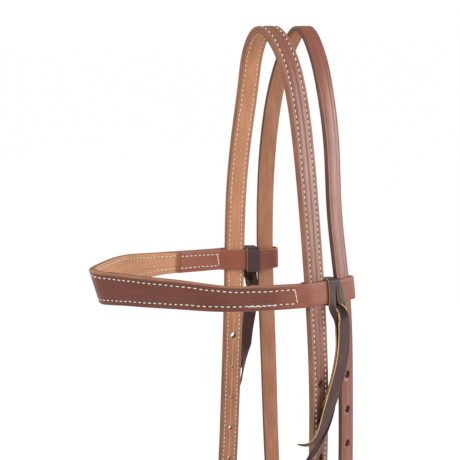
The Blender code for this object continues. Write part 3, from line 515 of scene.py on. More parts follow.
def row(first, last, offset, height, pitch, fill=0.70, slant=0.10):
    """Stitches in a row along the strap; offset and pitch may change with the distance.

    Sines that are out of step with the stitches give each a place and turn of its own."""
    fine = np.linspace(first, last, 300)
    pitches = np.array([pitch(reach) if callable(pitch) else pitch for reach in fine])
    passed = np.concatenate(((0.0,), np.cumsum(np.diff(fine) * 2 / (pitches[1:] + pitches[:-1]))))
    count = max(1, round(passed[-1]))
    reaches = np.interp((np.arange(count) + 0.5) * passed[-1] / count, passed, fine)
    return [((offset(reach) if callable(offset) else offset) + WANDER * math.sin(5.1 * k), reach,
             height, slant + TURN_WOBBLE * math.sin(12.9 * k),
             np.interp(reach, fine, pitches) * fill * (1 + LENGTH_WOBBLE * math.sin(7.3 * k)))
            for k, reach in enumerate(reaches)]


def bead(segments, rings, material):
    """A ball at radius one, to be squeezed into a thread or a dark bead of painted shade in an awl
    hole.
    """
    bm = bmesh.new()
    bmesh.ops.create_uvsphere(bm, u_segments=segments, v_segments=rings, radius=1)
    for face in bm.faces:
        face.material_index = material
    return mesh_of("bead", bm)


def sew(name, spots, line, thick=0.00042, pit=0.00042):
    """Threads whose ends go down into the leather, each between two awl holes shown as dark beads
    of painted shade.
    """
    thread_bead = bead(8, 6, 0)
    shade_bead = bead(8, 4, 1)
    bm = bmesh.new()
    for x, y, z, turn, long in spots:
        down = -1 if z > 0 else 1
        spot = Matrix.Translation((x, y, z)) @ Matrix.Rotation(turn, 4, "Z")
        shapes = [(thread_bead, Matrix.Translation((0, 0, down * thick * 0.15))
                   @ Matrix.Diagonal((thick, long / 2, thick * 0.95, 1)))]
        for end in (-1, 1):
            sunk = Matrix.Translation((0, end * (long / 2 + pit * 0.4), down * PIT_SINK))
            shapes.append((shade_bead, sunk @ Matrix.Diagonal((pit, pit * 1.1, PIT_DEPTH, 1))))
        for ball, shape in shapes:
            placed = ball.copy()
            placed.transform(spot @ shape)
            bm.from_mesh(placed)
            bpy.data.meshes.remove(placed)
    hang(name, carry(bm, line), [thread, awl_hole_shade], "headstall", "bridle_leather")


print(f"{len(row(0.0, 0.1, 0.0, 0.0, 0.0047))} stitches go to 100 mm of crown strap")

# %% [markdown]
# ## Leathers, thread and steel
#
# Each leather is one recipe: a grain side, a flesh side and a cut edge, told apart by
# the strap's own cross section.  Grain is drawn in the flat pattern's coordinates, so it runs
# along the strap wherever that goes; a photograph of leather would stretch in the bends.

# %% Shader helpers


def add(tree, kind, inputs=None, **settings):
    """A shader node with its settings and inputs."""
    node = tree.nodes.new("ShaderNode" + kind)
    for key, value in settings.items():
        setattr(node, key, value)
    for key, value in (inputs or {}).items():
        if isinstance(value, bpy.types.NodeSocket):
            tree.links.new(value, node.inputs[key])
        else:
            node.inputs[key].default_value = value
    return node


def new_material(name, slot):
    """An empty material and its shader."""
    material = bpy.data.materials.new(name)
    material.use_nodes = True
    material["slot"] = slot
    return material, material.node_tree, material.node_tree.nodes["Principled BSDF"]


def maths(tree, operation, *values):
    """The result of a sum on numbers or sockets."""
    return add(tree, "Math", dict(enumerate(values)), operation=operation).outputs[0]


def ramp(tree, value, low, high, start=0.0, end=1.0):
    """The value carried smoothly from one range to another."""
    inputs = {"Value": value, "From Min": low, "From Max": high, "To Min": start, "To Max": end}
    return add(tree, "MapRange", inputs, interpolation_type="SMOOTHSTEP").outputs[0]


def mix(tree, share, first, last, blend_type="MIX"):
    """Two colours mixed."""
    node = add(tree, "Mix", data_type="RGBA", blend_type=blend_type)
    for key, value in ((0, share), (6, first), (7, last)):
        if isinstance(value, bpy.types.NodeSocket):
            tree.links.new(value, node.inputs[key])
        else:
            node.inputs[key].default_value = value if key == 0 else (*value, 1.0)
    return node.outputs[2]


def shaded(tree, colour, shade):
    """A colour darkened by a shade."""
    return mix(tree, 1.0, colour, shade, "MULTIPLY")


def away(tree, value, middle=0.0):
    """How far a value is from a middle."""
    return maths(tree, "ABSOLUTE", maths(tree, "SUBTRACT", value, middle))


def noise(tree, vector, scale, shift=0.0, detail=3.0, roughness=0.55):
    """Noise from 0 to 1, in steps of a size of its own along each axis."""
    place = add(tree, "Mapping", {"Vector": vector, "Scale": scale,
                                  "Location": (shift, shift, 0.0)}).outputs[0]
    return add(tree, "TexNoise", {"Vector": place, "Scale": 1.0, "Detail": detail,
                                  "Roughness": roughness}).outputs[0]


def object_noise(tree, scale, detail=3.0):
    """Noise that stays with the object; the steps are in 1/m."""
    return noise(tree, add(tree, "TexCoord").outputs["Object"], scale, detail=detail)


print("shader helpers are ready")

# %% The leather recipe
LEATHER_NOISES = (  # steps across and along in 1/m, shift, detail and roughness
    (90.0, 35.0, 0.0, 4.0, 0.55), (1600.0, 30.0, 3.0, 3.0, 0.65), (2200.0, 1500.0, 7.0, 2.0, 0.55),
    (3000.0, 350.0, 11.0, 4.0, 0.7), (750.0, 30.0, 17.0, 4.0, 0.7))
GRAIN_SHADE = (0.50, 0.45, 0.42)
GRAIN_BLOOM = (0.62, 0.40, 0.32)
GRAIN_MARGIN = (0.38, 0.155, 0.085)
# painted shade for the stitch grooves
GROOVE_SHADE = (0.065, 0.022, 0.014)
FIBRE_SHADE = (0.58, 0.56, 0.54)
STRAND_SHADE = (0.70, 0.58, 0.50)
FLESH_GOLD = (0.90, 0.62, 0.36)
# painted shade on the flesh side's margins, towards its rounded edges
FLESH_EDGE_SHADE = (0.55, 0.48, 0.42)
CREASE_FADE = (0.0005, 0.0002)


def leather(name, slot, grain, flesh, edge, rough=0.45, shine=0.5, grooves=0.0, lines=0.35,
            mottle=0.25, rim=0.0, lit_levels=(-1.0, 1.0), middle=0.0, painted_grain_light=None,
            painted_flesh_shade=None, crease=None):
    """A leather: colours of its grain, flesh and edge, how rough, shiny and lined it is.

    grooves is where the stitch grooves lie, which are darkened with painted shade, and rim how far
    the edge's colour comes over the faces, as shares of the half width. The edge has that colour
    only on the levels of the thickness given as lit; on the others it keeps a face's colour, a
    painted shade. From the middle of the strap, an end colour for the grain and one for the flesh
    change a colour between two distances, painted light and shade along the strap, and crease
    presses a coloured line down the flesh side beyond one."""
    material, tree, shader = new_material(name, slot)
    flat = add(tree, "UVMap", uv_map="flat").outputs[0]
    spread = add(tree, "SeparateXYZ", {0: flat})
    profile = add(tree, "SeparateXYZ", {0: add(tree, "UVMap", uv_map="profile").outputs[0]})
    patches, streaks, pores, fibres, strands = (
        noise(tree, flat, (x, y, 1.0), shift, detail, roughness)
        for x, y, shift, detail, roughness in LEATHER_NOISES)

    side = away(tree, profile.outputs[0])
    level = profile.outputs[1]
    is_grain = ramp(tree, level, -0.2, 0.5)
    # the edge's colour only on the lit levels of the thickness; the rest keep a face's colour as
    # painted shade
    is_lit_level = maths(tree, "MULTIPLY", ramp(tree, level, lit_levels[0], lit_levels[0] + 0.14),
                    ramp(tree, level, lit_levels[1], lit_levels[1] - 0.14))
    is_edge = maths(tree, "MULTIPLY", ramp(tree, side, 0.88, 0.94), is_lit_level)
    if rim:
        is_edge = maths(tree, "MAXIMUM", is_edge, ramp(tree, side, 1 - rim, 1 - rim * 0.6))
    from_middle = away(tree, spread.outputs[1], middle)
    # colours that change along the strap: painted light and shade
    grain, flesh = (
        mix(tree, ramp(tree, from_middle, *ends[:2]), colour, ends[2]) if ends else colour
        for colour, ends in ((grain, painted_grain_light), (flesh, painted_flesh_shade)))

    dark = shaded(tree, grain, GRAIN_SHADE)
    pale = mix(tree, 0.28, grain, GRAIN_BLOOM)
    grain_colour = mix(tree, ramp(tree, patches, 0.35, 0.68, 0.0, mottle), grain, dark)
    grain_colour = mix(tree, ramp(tree, streaks, 0.44, 0.66, 0.0, lines), grain_colour, pale)
    grain_colour = mix(tree, ramp(tree, pores, 0.54, 0.70, 0.0, 0.50), grain_colour, dark)
    flesh_colour = mix(tree, ramp(tree, fibres, 0.42, 0.66, 0.0, 0.66), flesh,
                       shaded(tree, flesh, FIBRE_SHADE))
    flesh_colour = mix(tree, ramp(tree, strands, 0.44, 0.60, 0.0, 0.60), flesh_colour,
                       shaded(tree, flesh, STRAND_SHADE))
    flesh_colour = mix(tree, ramp(tree, patches, 0.40, 0.65, 0.0, 0.30), flesh_colour,
                       mix(tree, 0.6 * mottle, flesh, FLESH_GOLD))
    smooth = maths(tree, "MULTIPLY_ADD", patches, 0.22, rough - 0.10)
    if grooves:
        # the stitch grooves darkened with painted shade
        at_groove = ramp(tree, away(tree, side, grooves), 0.09, 0.015)
        grain_colour = mix(tree, maths(tree, "MULTIPLY", at_groove, 0.75), grain_colour,
                           GROOVE_SHADE)
        margin = ramp(tree, side, grooves + 0.04, grooves + 0.14)
        faint = maths(tree, "MULTIPLY", margin, 0.45)
        grain_colour = mix(tree, faint, grain_colour, GRAIN_MARGIN)
        # the flesh side's margins darkened with painted shade
        flesh_colour = mix(tree, faint, flesh_colour, shaded(tree, flesh, FLESH_EDGE_SHADE))
        smooth = maths(tree, "MULTIPLY_ADD", margin, 0.20, smooth)
    if crease:
        start, colour = crease
        at_crease = maths(tree, "MULTIPLY", ramp(tree, from_middle, start, start + 0.004),
                          ramp(tree, away(tree, spread.outputs[0]), *CREASE_FADE))
        flesh_colour = mix(tree, maths(tree, "MULTIPLY", at_crease, 0.8), flesh_colour, colour)

    colour = mix(tree, is_grain, flesh_colour, grain_colour)
    worn_edge = tuple(0.6 * value for value in edge)
    edge_colour = mix(tree, ramp(tree, streaks, 0.35, 0.65), edge, worn_edge)
    colour = mix(tree, maths(tree, "MULTIPLY", is_edge, 0.9), colour, edge_colour)
    tree.links.new(colour, shader.inputs["Base Color"])
    tree.links.new(add(tree, "Mix", {0: is_grain, 2: 0.88, 3: smooth}).outputs[0],
                   shader.inputs["Roughness"])
    height = maths(tree, "MULTIPLY_ADD", pores, 0.35, maths(tree, "MULTIPLY", fibres, 0.5))
    bump = add(tree, "Bump", {"Height": height, "Strength": 0.30, "Distance": 0.0004})
    tree.links.new(bump.outputs[0], shader.inputs["Normal"])
    shader.inputs["Specular IOR Level"].default_value = shine
    return material


print("a leather has a grain, a flesh side and an edge")

# %% The leathers
FLESH_TAN = (0.50, 0.235, 0.125)
LINING_TAN = (0.56, 0.280, 0.150)
LATIGO_GRAIN = (0.050, 0.022, 0.024)
CROWN_MIDDLE = 0.515  # halfway along each strap, where it lies over the poll or the brow
BAND_MIDDLE = 0.300
bridle = leather("bridle_leather", "bridle_leather", (0.232, 0.072, 0.042), (0.34, 0.148, 0.080),
                 (0.100, 0.035, 0.022), 0.40)
# painted shade: the crown's grain darker towards its ends, lower on the head
crown_grain = leather(
    "crown_grain", "bridle_leather", (0.232, 0.080, 0.048), FLESH_TAN, (0.26, 0.105, 0.060), 0.40,
    grooves=0.62, middle=CROWN_MIDDLE, painted_grain_light=(0.27, 0.40, (0.135, 0.050, 0.033)))
# painted shade: the crown's flesh side darker towards its ends
crown_flesh = leather(
    "crown_flesh", "flesh_leather", FLESH_TAN, FLESH_TAN, (0.23, 0.092, 0.052), 0.60,
    grooves=0.62, middle=CROWN_MIDDLE, painted_flesh_shade=(0.24, 0.31, (0.35, 0.150, 0.085)),
    crease=(0.255, (0.62, 0.30, 0.12)))
# painted light: the browband's grain lighter and redder at its loops
band_leather = leather(
    "browband_leather", "browband_leather", (0.150, 0.043, 0.028), (0.45, 0.20, 0.11),
    (0.34, 0.158, 0.090), 0.42, shine=0.30, lines=0.20, middle=BAND_MIDDLE,
    painted_grain_light=(0.192, 0.226, (0.250, 0.072, 0.040)))
band_lining_leather = leather("lining_leather", "lining_leather", LINING_TAN, LINING_TAN,
                              (0.21, 0.092, 0.054), 0.60)
# painted shade: the pulled end darker for its first 12 to 18 mm beside the slit, inside its gutter
# painted shade: the slit end's raw edge a dimmer gold than the pulled end's
latigo, latigo_end = (
    leather(name, "latigo_leather", LATIGO_GRAIN, flesh, edge, shine=0.28, lines=0.08,
            mottle=0.08, **ends)
    for name, flesh, edge, ends in (
        ("latigo_leather", (0.095, 0.056, 0.054), (0.60, 0.33, 0.12), {"lit_levels": (-0.05, 0.85)}),
        ("latigo_pulled_end", (0.088, 0.053, 0.055), (0.78, 0.46, 0.17),
         {"rim": 0.01, "lit_levels": (-0.90, 0.20),
          "painted_flesh_shade": (0.018, 0.012, (0.026, 0.013, 0.014))})))
print(f"{len(bpy.data.materials)} leathers")

# %% Thread, holes and steel


def speckled(name, slot, steps, first, last, rough):
    """A dull finish of two colours in fine specks."""
    material, tree, shader = new_material(name, slot)
    tree.links.new(mix(tree, object_noise(tree, (steps,) * 3), first, last),
                   shader.inputs["Base Color"])
    shader.inputs["Roughness"].default_value = rough
    return material


# painted shade: the dark inside of an awl hole
awl_hole_shade = speckled("awl_hole_shade", "bridle_leather", 1800.0, (0.012, 0.006, 0.004),
                    (0.050, 0.022, 0.014), 0.8)
thread = speckled("cream_thread", "bridle_leather", 2200.0, (0.50, 0.46, 0.36),
                  (0.80, 0.78, 0.68), 0.75)
hole_wall = speckled("punched_wall", "bridle_leather", 1500.0, (0.05, 0.02, 0.012),
                     (0.16, 0.07, 0.04), 0.8)
raw_edge = speckled("latigo_raw_edge", "latigo_leather", 900.0, (0.24, 0.11, 0.040),
                    (0.55, 0.31, 0.12), 0.7)

steel, tree, shader = new_material("stainless_steel", "stainless_steel")
scratches = object_noise(tree, (900.0, 3000.0, 300.0), 4.0)
tree.links.new(mix(tree, scratches, (0.52, 0.52, 0.50), (0.72, 0.71, 0.69)),
               shader.inputs["Base Color"])
tree.links.new(ramp(tree, scratches, 0.3, 0.7, 0.16, 0.34), shader.inputs["Roughness"])
shader.inputs["Metallic"].default_value = 1.0
bump = add(tree, "Bump", {"Height": scratches, "Strength": 0.08, "Distance": 0.0002})
tree.links.new(bump.outputs[0], shader.inputs["Normal"])
print(f"{len(bpy.data.materials)} materials")

# %% [markdown]
# ## The crown strap
#
# Two plies, one with its grain out and one with its flesh towards the horse, sewn
# together with two rows and punched as one.  A doubled strap keeps its shape over the
# poll, where a single ply would curl.

# %% Crown route
BILLET_PAST_HEEL = 0.052
CROWN_TIPS = (0.012, 0.012)
mid = len(crown_curve) // 2
tip = moved(cheek_heel, up=-BILLET_PAST_HEEL,
            out=billet_inside(CHEEK_BUCKLE) + CHEEK_BUCKLE.billet / 2)
near_places = [place_on(crown_curve, k) for k in range(mid, len(crown_curve) - PER_SPAN - 1)]
near_places += [crown_knee, crown_knee._replace(origin=tip.origin)]
off_places = [Place(*(vector * FLIP for vector in place)) for place in near_places[:0:-1]]
crown_places = off_places + near_places
crown_line = route([place.origin for place in crown_places],
                   [place.across for place in crown_places])


def reach_at_drop(line, drop, near=True):
    """Distance along a route where its near or off side is a drop below the poll."""
    middle = int(np.argmax(line.middle[:, 2]))
    part = slice(middle, None) if near else slice(None, middle + 1)
    heights = line.middle[part, 2]
    lengths = line.length[part]
    order = np.argsort(heights)
    return float(np.interp(-drop, heights[order], lengths[order]))


def punch_row(line, first, count, used, buckle, near=True):
    """The holes of a billet: across, along, width and length of each."""
    low, high = used_hole(buckle)
    return [(0.0, reach_at_drop(line, first + k * HOLE_PITCH, near), HOLE_WIDTH,
             max(high - low, HOLE_LENGTH) if k == used else HOLE_LENGTH) for k in range(count)]


print(f"crown strap: {crown_line.length[-1]:.3f} m long")

# %% Crown strap
CROWN_PITCH = 0.0047
CROWN_SEAM_END = 0.016
THREAD_SINK = 0.0002
LINING_SHARES = (0.92, 0.36, 0.40, 0.62, 0.48, 1.14, 0.60)  # what is left of each hole inside
crown_holes = []
for near in (True, False):
    crown_holes += punch_row(crown_line, CROWN_FIRST_HOLE, 7, CROWN_USED_HOLE, CHEEK_BUCKLE, near)
lining_holes = [(x, y, width * LINING_SHARES[k % 7], length * LINING_SHARES[k % 7])
                for k, (x, y, width, length) in enumerate(crown_holes)]
lining_section = cross_section(
    -GAP / 2 - CROWN_PLY, -GAP / 2, 0.0008, 0.0003,
    flesh=edge_grooves(CROWN_STITCH_INSET, 0.0007, 0.00018, [(0, 0.0, 0.0)])[::-1])
taper = tip_taper(crown_line, CROWN_TIPS)
reaches = stations(crown_line, tips=CROWN_TIPS)
for name, outline, holes, levels, closing, skin, slot, node in (
        ("crown_outer_leather", section, crown_holes, (GAP / 2, GAP / 2 + CROWN_PLY), 0.0,
         crown_grain, "bridle_leather", "crown_outer_ply"),
        ("crown_lining_leather", lining_section, lining_holes, (-GAP / 2 - CROWN_PLY, -GAP / 2),
         0.10, crown_flesh, "flesh_leather", "crown_lining_ply")):
    ply = cut_strip(outline, reaches, CROWN_WIDTH / 2, taper)
    ply = carry(punched(ply, holes, hole_wall, levels, closing), crown_line)
    hang(name, ply, [skin, hole_wall], "headstall", slot, node)

spots = []
for offset in (CROWN_STITCH_INSET - CROWN_WIDTH / 2, CROWN_WIDTH / 2 - CROWN_STITCH_INSET):
    spots += row(CROWN_SEAM_END, crown_line.length[-1] - CROWN_SEAM_END, offset,
                 GAP / 2 + CROWN_PLY - THREAD_SINK, CROWN_PITCH)
sew("crown_stitches_outer", spots, crown_line, thick=0.00052, pit=0.00048)
sew("crown_stitches_inner", [(x, y, -z, -turn, long * 0.92) for x, y, z, turn, long in spots],
    crown_line, thick=0.00048, pit=0.00034)
print(f"crown strap: {len(crown_holes)} holes, {2 * len(spots)} stitches")

# %% [markdown]
# ## The throatlatch strap
#
# One ply, creased along its length.  Its buckle end is folded over the heel bar and
# sewn back; the rest goes under the jaw, up the off side, over the poll and down to the
# punched billet on the near side.

# %% Throatlatch route
FOLD_REACH = 0.016
SIXTEENTHS = [k / 16 for k in range(17)]
THROAT_BILLET_PAST_HEEL = 0.050


def eased(share):
    """A share of a step that starts and ends softly."""
    return share * share * (3 - 2 * share)


def bar_fold(buckle):
    """Lap level, outer leg's level and path of a strap's fold over the heel bar."""
    middle = buckle.bar + GAP + buckle.strap / 2
    lap = middle - buckle.strap - GAP
    path = [(-FOLD_REACH * (1 - share), lap + (-middle - lap) * eased(share))
            for share in SIXTEENTHS[:-1]]
    path += [(middle * math.sin(math.pi * k / 32), -middle * math.cos(math.pi * k / 32))
             for k in range(33)]
    return lap, middle, path


def jaw_point(down, out):
    """Point and twist of the loop under the jaw, at shares of its drop and spread."""
    knee = throat_rows[-2]
    level = throat_heel.origin[2] - JAW_DROP * down
    return (out * THROAT_SPREAD, knee[1] + THROAT_SLOPES[1] * (knee[2] - level), level,
            knee[3] * (1 - down))


lap, middle, fold = bar_fold(THROAT_BUCKLE)
jaw = [jaw_point(down, out) for down, out in jaw_shares]
rows = [(*moved(throat_heel, up=rise - JAW_JOIN, out=middle).origin, throat_rows[-2][3])
        for rise in (STATION_REACH, 0.0)]
rows += [(x - THROAT_PLY - GAP, y, z, turn) for x, y, z, turn in jaw[1:]]
rows += [jaw_point(1.0, 0.0)]
rows += [(-x, y, z, -turn) for x, y, z, turn in jaw[::-1]] + throat_rows[1:]
curve = smooth_through(rows)
legs = [(-THROAT_TURNBACK, lap), *fold]
legs += [(-JAW_JOIN * share, middle) for share in (0.3, 0.6, 0.8)]
middles = [moved(throat_heel, up=up, out=out).origin for up, out in legs]
acrosses = [throat_heel.across] * len(middles)
for k in range(PER_SPAN, len(curve) - PER_SPAN - 1):
    place = place_on(curve, k)
    middles.append(place.origin)
    acrosses.append(place.across)
throat_tip = moved(throat_heel, up=-THROAT_BILLET_PAST_HEEL,
                   out=billet_inside(THROAT_BUCKLE) + THROAT_PLY / 2)
throat_line = route([*middles, throat_knee.origin, throat_tip.origin],
                    [*acrosses, throat_knee.across, throat_knee.across])
print(f"throatlatch: {throat_line.length[-1]:.3f} m long")

# %% Throatlatch strap
THROAT_TIPS = (0.004, 0.010)
THROAT_CLOSING = 0.22
SLOT_PLAY = 0.0006
THROAT_SLOT_LENGTH = 0.022
LAP_PITCH = 0.0042
LAP_OFFSET = 0.0058
LAP_FIRST, LAP_LAST = 0.004, 0.026
crease = [(0, 0.0, 0.0001), *groove(0, 0.0026, 0.0006, 0.00016)]
throat_section = cross_section(-THROAT_PLY / 2, THROAT_PLY / 2, 0.0006, 0.0009,
                               edge_grooves(0.0019, 0.0006, 0.00022, crease))
throat_holes = punch_row(throat_line, THROAT_FIRST_HOLE, 6, THROAT_USED_HOLE, THROAT_BUCKLE)
throat = cut_strip(throat_section, stations(throat_line, tips=THROAT_TIPS), THROAT_WIDTH / 2,
                   tip_taper(throat_line, THROAT_TIPS))
heel_reach = reach_of(throat_line, moved(throat_heel, up=middle).origin)
tongue_slot = (0.0, heel_reach, 2 * (THROAT_BUCKLE.tongue + SLOT_PLAY), THROAT_SLOT_LENGTH)
throat = punched(throat, throat_holes + [tongue_slot], hole_wall,
                 (-THROAT_PLY / 2, THROAT_PLY / 2), THROAT_CLOSING)
hang("throatlatch_leather", carry(throat, throat_line), [bridle, hole_wall], "headstall",
     "bridle_leather", "throatlatch_strap")
spots = []
for offset in (-LAP_OFFSET, LAP_OFFSET):
    for first, last in ((LAP_FIRST, LAP_LAST),
                        (2 * heel_reach - LAP_LAST, 2 * heel_reach - LAP_FIRST)):
        spots += row(first, last, offset, THROAT_PLY / 2, LAP_PITCH)
sew("throatlatch_fold_stitches", spots, throat_line)
print(f"throatlatch: {len(throat_holes)} holes, {len(spots)} stitches")

# %% [markdown]
# ## The browband
#
# An outer ply sewn to a lighter lining.  Beyond the lining each end of the outer ply folds
# round both head straps and comes back as a tab, sewn down on the lining.

# %% Browband route
BAND_SPREAD = 0.0693
BAND_REACH = 0.1518
BAND_RISE = 0.0169
BAND_LEAN = math.radians(14)
TAB_TRIM = 0.0006
FLAT = (-1.0, -0.5, 0.0, 0.5, 1.0)  # across a strap's flat side, as shares of half its width


def wall_line(shift):
    """Route and heights of the band's wall, moved along its grain side."""
    near = [(out * BAND_SPREAD, -BAND_BEFORE_POLL - forward * BAND_REACH,
             rise * BAND_RISE - BAND_LEVEL,
             BAND_LOOP_HEIGHT + (BAND_FRONT_HEIGHT - BAND_LOOP_HEIGHT) * height,
             BAND_LEAN * lean) for out, forward, rise, height, lean in band_shares]
    samples = smooth_through([(-x, *rest) for x, *rest in near[:0:-1]] + near)
    along = np.gradient(samples[:, :3], axis=0)
    along /= np.linalg.norm(along, axis=1)[:, None]
    level = np.cross(along, (0.0, 0.0, 1.0))
    level /= np.linalg.norm(level, axis=1)[:, None]
    lean = samples[:, 4:5]
    ups = np.cross(level, along) * np.cos(lean) + level * np.sin(lean)
    outs = np.cross(along, ups)
    return samples[:, :3] + outs * shift, ups, samples[:, 3]


def loop_part(place, back, out):
    """Middle and upright of a loop beside one of the straps inside it."""
    return moved(place, across=back, up=-back * BAND_LOOP_FALL, out=out).origin, place.up


crown_level = BAND_LEVEL + BAND_LOOP_FALL * (BAND_BEFORE_POLL + CROWN_SETBACK)
crown_in_loop = below_poll(crown_curve, crown_knee, crown_level)
throat_in_loop = below_poll(throat_head, throat_knee,
                            crown_level + BAND_LOOP_FALL * THROAT_BEHIND)
crown_clear = CHEEK_BUCKLE.billet / 2 + LOOP_GAP + BAND_OUTER / 2
throat_clear = THROAT_PLY / 2 + LOOP_GAP + BAND_OUTER / 2
LOOP_END = throat_clear + 0.0010
half_crown = CROWN_WIDTH / 2
half_throat = THROAT_WIDTH / 2
loop = [loop_part(crown_in_loop, half_crown * share, crown_clear) for share in FLAT]
loop += [loop_part(throat_in_loop, half_throat * share, throat_clear) for share in FLAT[:-1]]
loop += [loop_part(throat_in_loop, half_throat + LOOP_END * math.sin(math.pi * k / 24),
                   throat_clear * math.cos(math.pi * k / 24)) for k in range(25)]
loop += [loop_part(throat_in_loop, -half_throat * share, -throat_clear) for share in FLAT[1:]]
loop += [loop_part(crown_in_loop, -half_crown * share, -crown_clear) for share in FLAT]

wall_middles, wall_ups, wall_heights = wall_line((BAND_LINING + GAP) / 2)
tab_middles, tab_ups, tab_heights = wall_line(
    -(BAND_OUTER + GAP + BAND_LINING) / 2 - GAP - BAND_OUTER / 2)
tab_count = int(np.searchsorted(run_of(tab_middles[::-1]), TAB_LENGTH))
tab = slice(-1, -tab_count - 1, -1)
near_middles = [point for point, _ in loop] + list(tab_middles[tab])
near_ups = [up for _, up in loop] + list(tab_ups[tab])
near_heights = [BAND_LOOP_HEIGHT] * len(loop) + list(tab_heights[tab] - TAB_TRIM)
middles = [point * FLIP for point in near_middles[::-1]] + list(wall_middles) + near_middles
ups = [up * FLIP for up in near_ups[::-1]] + list(wall_ups) + near_ups
heights = near_heights[::-1] + list(wall_heights) + near_heights
band_line = route(middles, ups)
band_end = float(band_line.length[-1])
wall_start, wall_end = (reach_of(band_line, wall_middles[k]) for k in (0, -1))
print(f"browband: outer ply {band_end:.3f} m long, "
      f"{wall_end - wall_start:.3f} m between the loops")

# %% Browband
GROOVE_FADE = 0.004
DEEPEST = 0.00025


def half_of(line, heights):
    """Half the height of a piece of the band, for any distance along its route."""
    def half(reach):
        return float(np.interp(reach, line.length, heights)) / 2
    return half


band_half = half_of(band_line, np.interp(band_line.length, run_of(middles), heights))
face = BAND_OUTER / 2
band_grooves = groove(-1, 0.0044, 0.0007, 0.0002) + groove(1, -0.0036, 0.0007, 0.0002)
band_section = cross_section(-face, face, 0.0004, 0.0007, band_grooves)
band = cut_strip(band_section, stations(band_line), band_half)
for vert in band.verts:
    past = max(wall_start - vert.co.y, vert.co.y - wall_end)
    sunk = face - vert.co.z
    if past > 0 and 0 < sunk < DEEPEST and abs(vert.co.x) < BAND_LOOP_HEIGHT * 0.45:
        vert.co.z += sunk * min(1.0, past / GROOVE_FADE)
hang("browband_outer_leather", carry(band, band_line), [band_leather], "headstall",
     "browband_leather", "browband_outer_ply")

lining_middles, lining_ups, lining_heights = wall_line(-(BAND_OUTER + GAP) / 2)
lining_line = route(lining_middles, lining_ups)
lining_end = float(lining_line.length[-1])
lining_half = half_of(lining_line, lining_heights)
lining = cut_strip(cross_section(-BAND_LINING / 2, BAND_LINING / 2, 0.0007, 0.0003),
                   stations(lining_line), lining_half)
hang("browband_lining_leather", carry(lining, lining_line), [band_lining_leather],
     "headstall", "lining_leather", "browband_lining")
print(f"browband: lining {lining_end:.3f} m long")

# %% Browband stitches
TOP_MARGIN = 0.0036
BOTTOM_MARGIN = 0.0045
NEAR_INSET = 0.0078
OFF_INSET = 0.0034
SEAM_GAP = 0.0010
BOX_SLANT = 0.30
BOX_SHARES = (0.17, 0.5, 0.83)
BROW_PITCH, LOOP_PITCH, PITCH_REACH = 0.0036, 0.0056, 0.172
TAB_PITCH = 0.0050
DOUBLED = (0.052, 0.026)  # from the near loop, where the thread is sewn over itself
DOUBLED_MARGIN, DOUBLED_PITCH, DOUBLED_FILL, DOUBLED_SLANT = 0.0041, 0.0046, 1.08, 0.06


def sewn_rows(half, first, last, level, pitch):
    """The upper and lower row of the band between two distances along a route."""
    return [stitch for edge in (lambda reach: half(reach) - TOP_MARGIN,
                                lambda reach: BOTTOM_MARGIN - half(reach))
            for stitch in row(first, last, edge, level, pitch, slant=0.0)]


def box_line(half, reach, level, slant):
    """The row across the band that closes the stitching beside a loop, pulled tight."""
    low, high = BOTTOM_MARGIN - half(reach), half(reach) - TOP_MARGIN
    return [(low + (high - low) * share, reach + slant * (0.5 - share) * (high - low), level,
             math.pi / 2 - slant, (high - low) * 0.39) for share in BOX_SHARES]


def spacing(middle):
    """Stitches lie closer at the brow, where the band is held round as it is sewn."""
    return lambda reach: float(np.interp(abs(reach - middle), (0.0, PITCH_REACH),
                                         (BROW_PITCH, LOOP_PITCH)))


first, last = wall_start + OFF_INSET, wall_end - NEAR_INSET
spots = sewn_rows(band_half, first, last, face, spacing((wall_start + wall_end) / 2))
spots += box_line(band_half, first, face, -BOX_SLANT) + box_line(band_half, last, face, BOX_SLANT)
spots += row(wall_end - DOUBLED[0], wall_end - DOUBLED[1],
             lambda reach: DOUBLED_MARGIN - band_half(reach), face, DOUBLED_PITCH, DOUBLED_FILL,
             DOUBLED_SLANT)
sew("browband_stitches_outer", spots, band_line, thick=0.00050, pit=0.00048)
off_tab, near_tab = TAB_LENGTH - OFF_INSET, band_end - TAB_LENGTH + NEAR_INSET
spots = []
for first, last, end in ((SEAM_GAP, off_tab, off_tab), (near_tab, band_end - SEAM_GAP, near_tab)):
    spots += sewn_rows(band_half, first, last, face, TAB_PITCH)
    spots += box_line(band_half, end, face, BOX_SLANT)
sew("browband_stitches_tabs", spots, band_line, thick=0.00050)
spots = sewn_rows(lining_half, TAB_LENGTH + SEAM_GAP, lining_end - TAB_LENGTH - SEAM_GAP,
                  -BAND_LINING / 2, spacing(lining_end / 2))
sew("browband_stitches_lining", spots, lining_line, thick=0.00044, pit=0.00034)
print(f"browband: stitches {BROW_PITCH * 1000} mm apart at the brow, "
      f"{LOOP_PITCH * 1000} mm at the loops")

# %% [markdown]
# ## Cheek straps, keepers, buckles and bit screws
#
# A cheek strap is one strap folded twice: over the buckle's heel bar and round the bit.

# %% Paths with round corners


def rounded(corners, radii, closed=True, steps=8):
    """A path through corners in a plane, with an arc at each corner that turns."""
    corners = [np.array(corner, dtype=float) for corner in corners]
    count = len(corners)
    points = []
    for k, corner in enumerate(corners):
        if not closed and k in (0, count - 1):
            points.append(corner)
            continue
        before = unit(corners[k - 1] - corner)
        after = unit(corners[(k + 1) % count] - corner)
        half = math.acos(float(before @ after)) / 2
        centre = corner + unit(before + after) * radii[k] / math.sin(half)
        arm = corner + before * radii[k] / math.tan(half) - centre
        side = float(before[1] * after[0] - before[0] * after[1])
        turn = math.copysign(math.pi - 2 * half, side)
        for step in range(steps + 1):
            cosine, sine = (f(turn * step / steps) for f in (math.cos, math.sin))
            points.append(centre + np.array((arm[0] * cosine - arm[1] * sine,
                                             arm[0] * sine + arm[1] * cosine)))
    return points


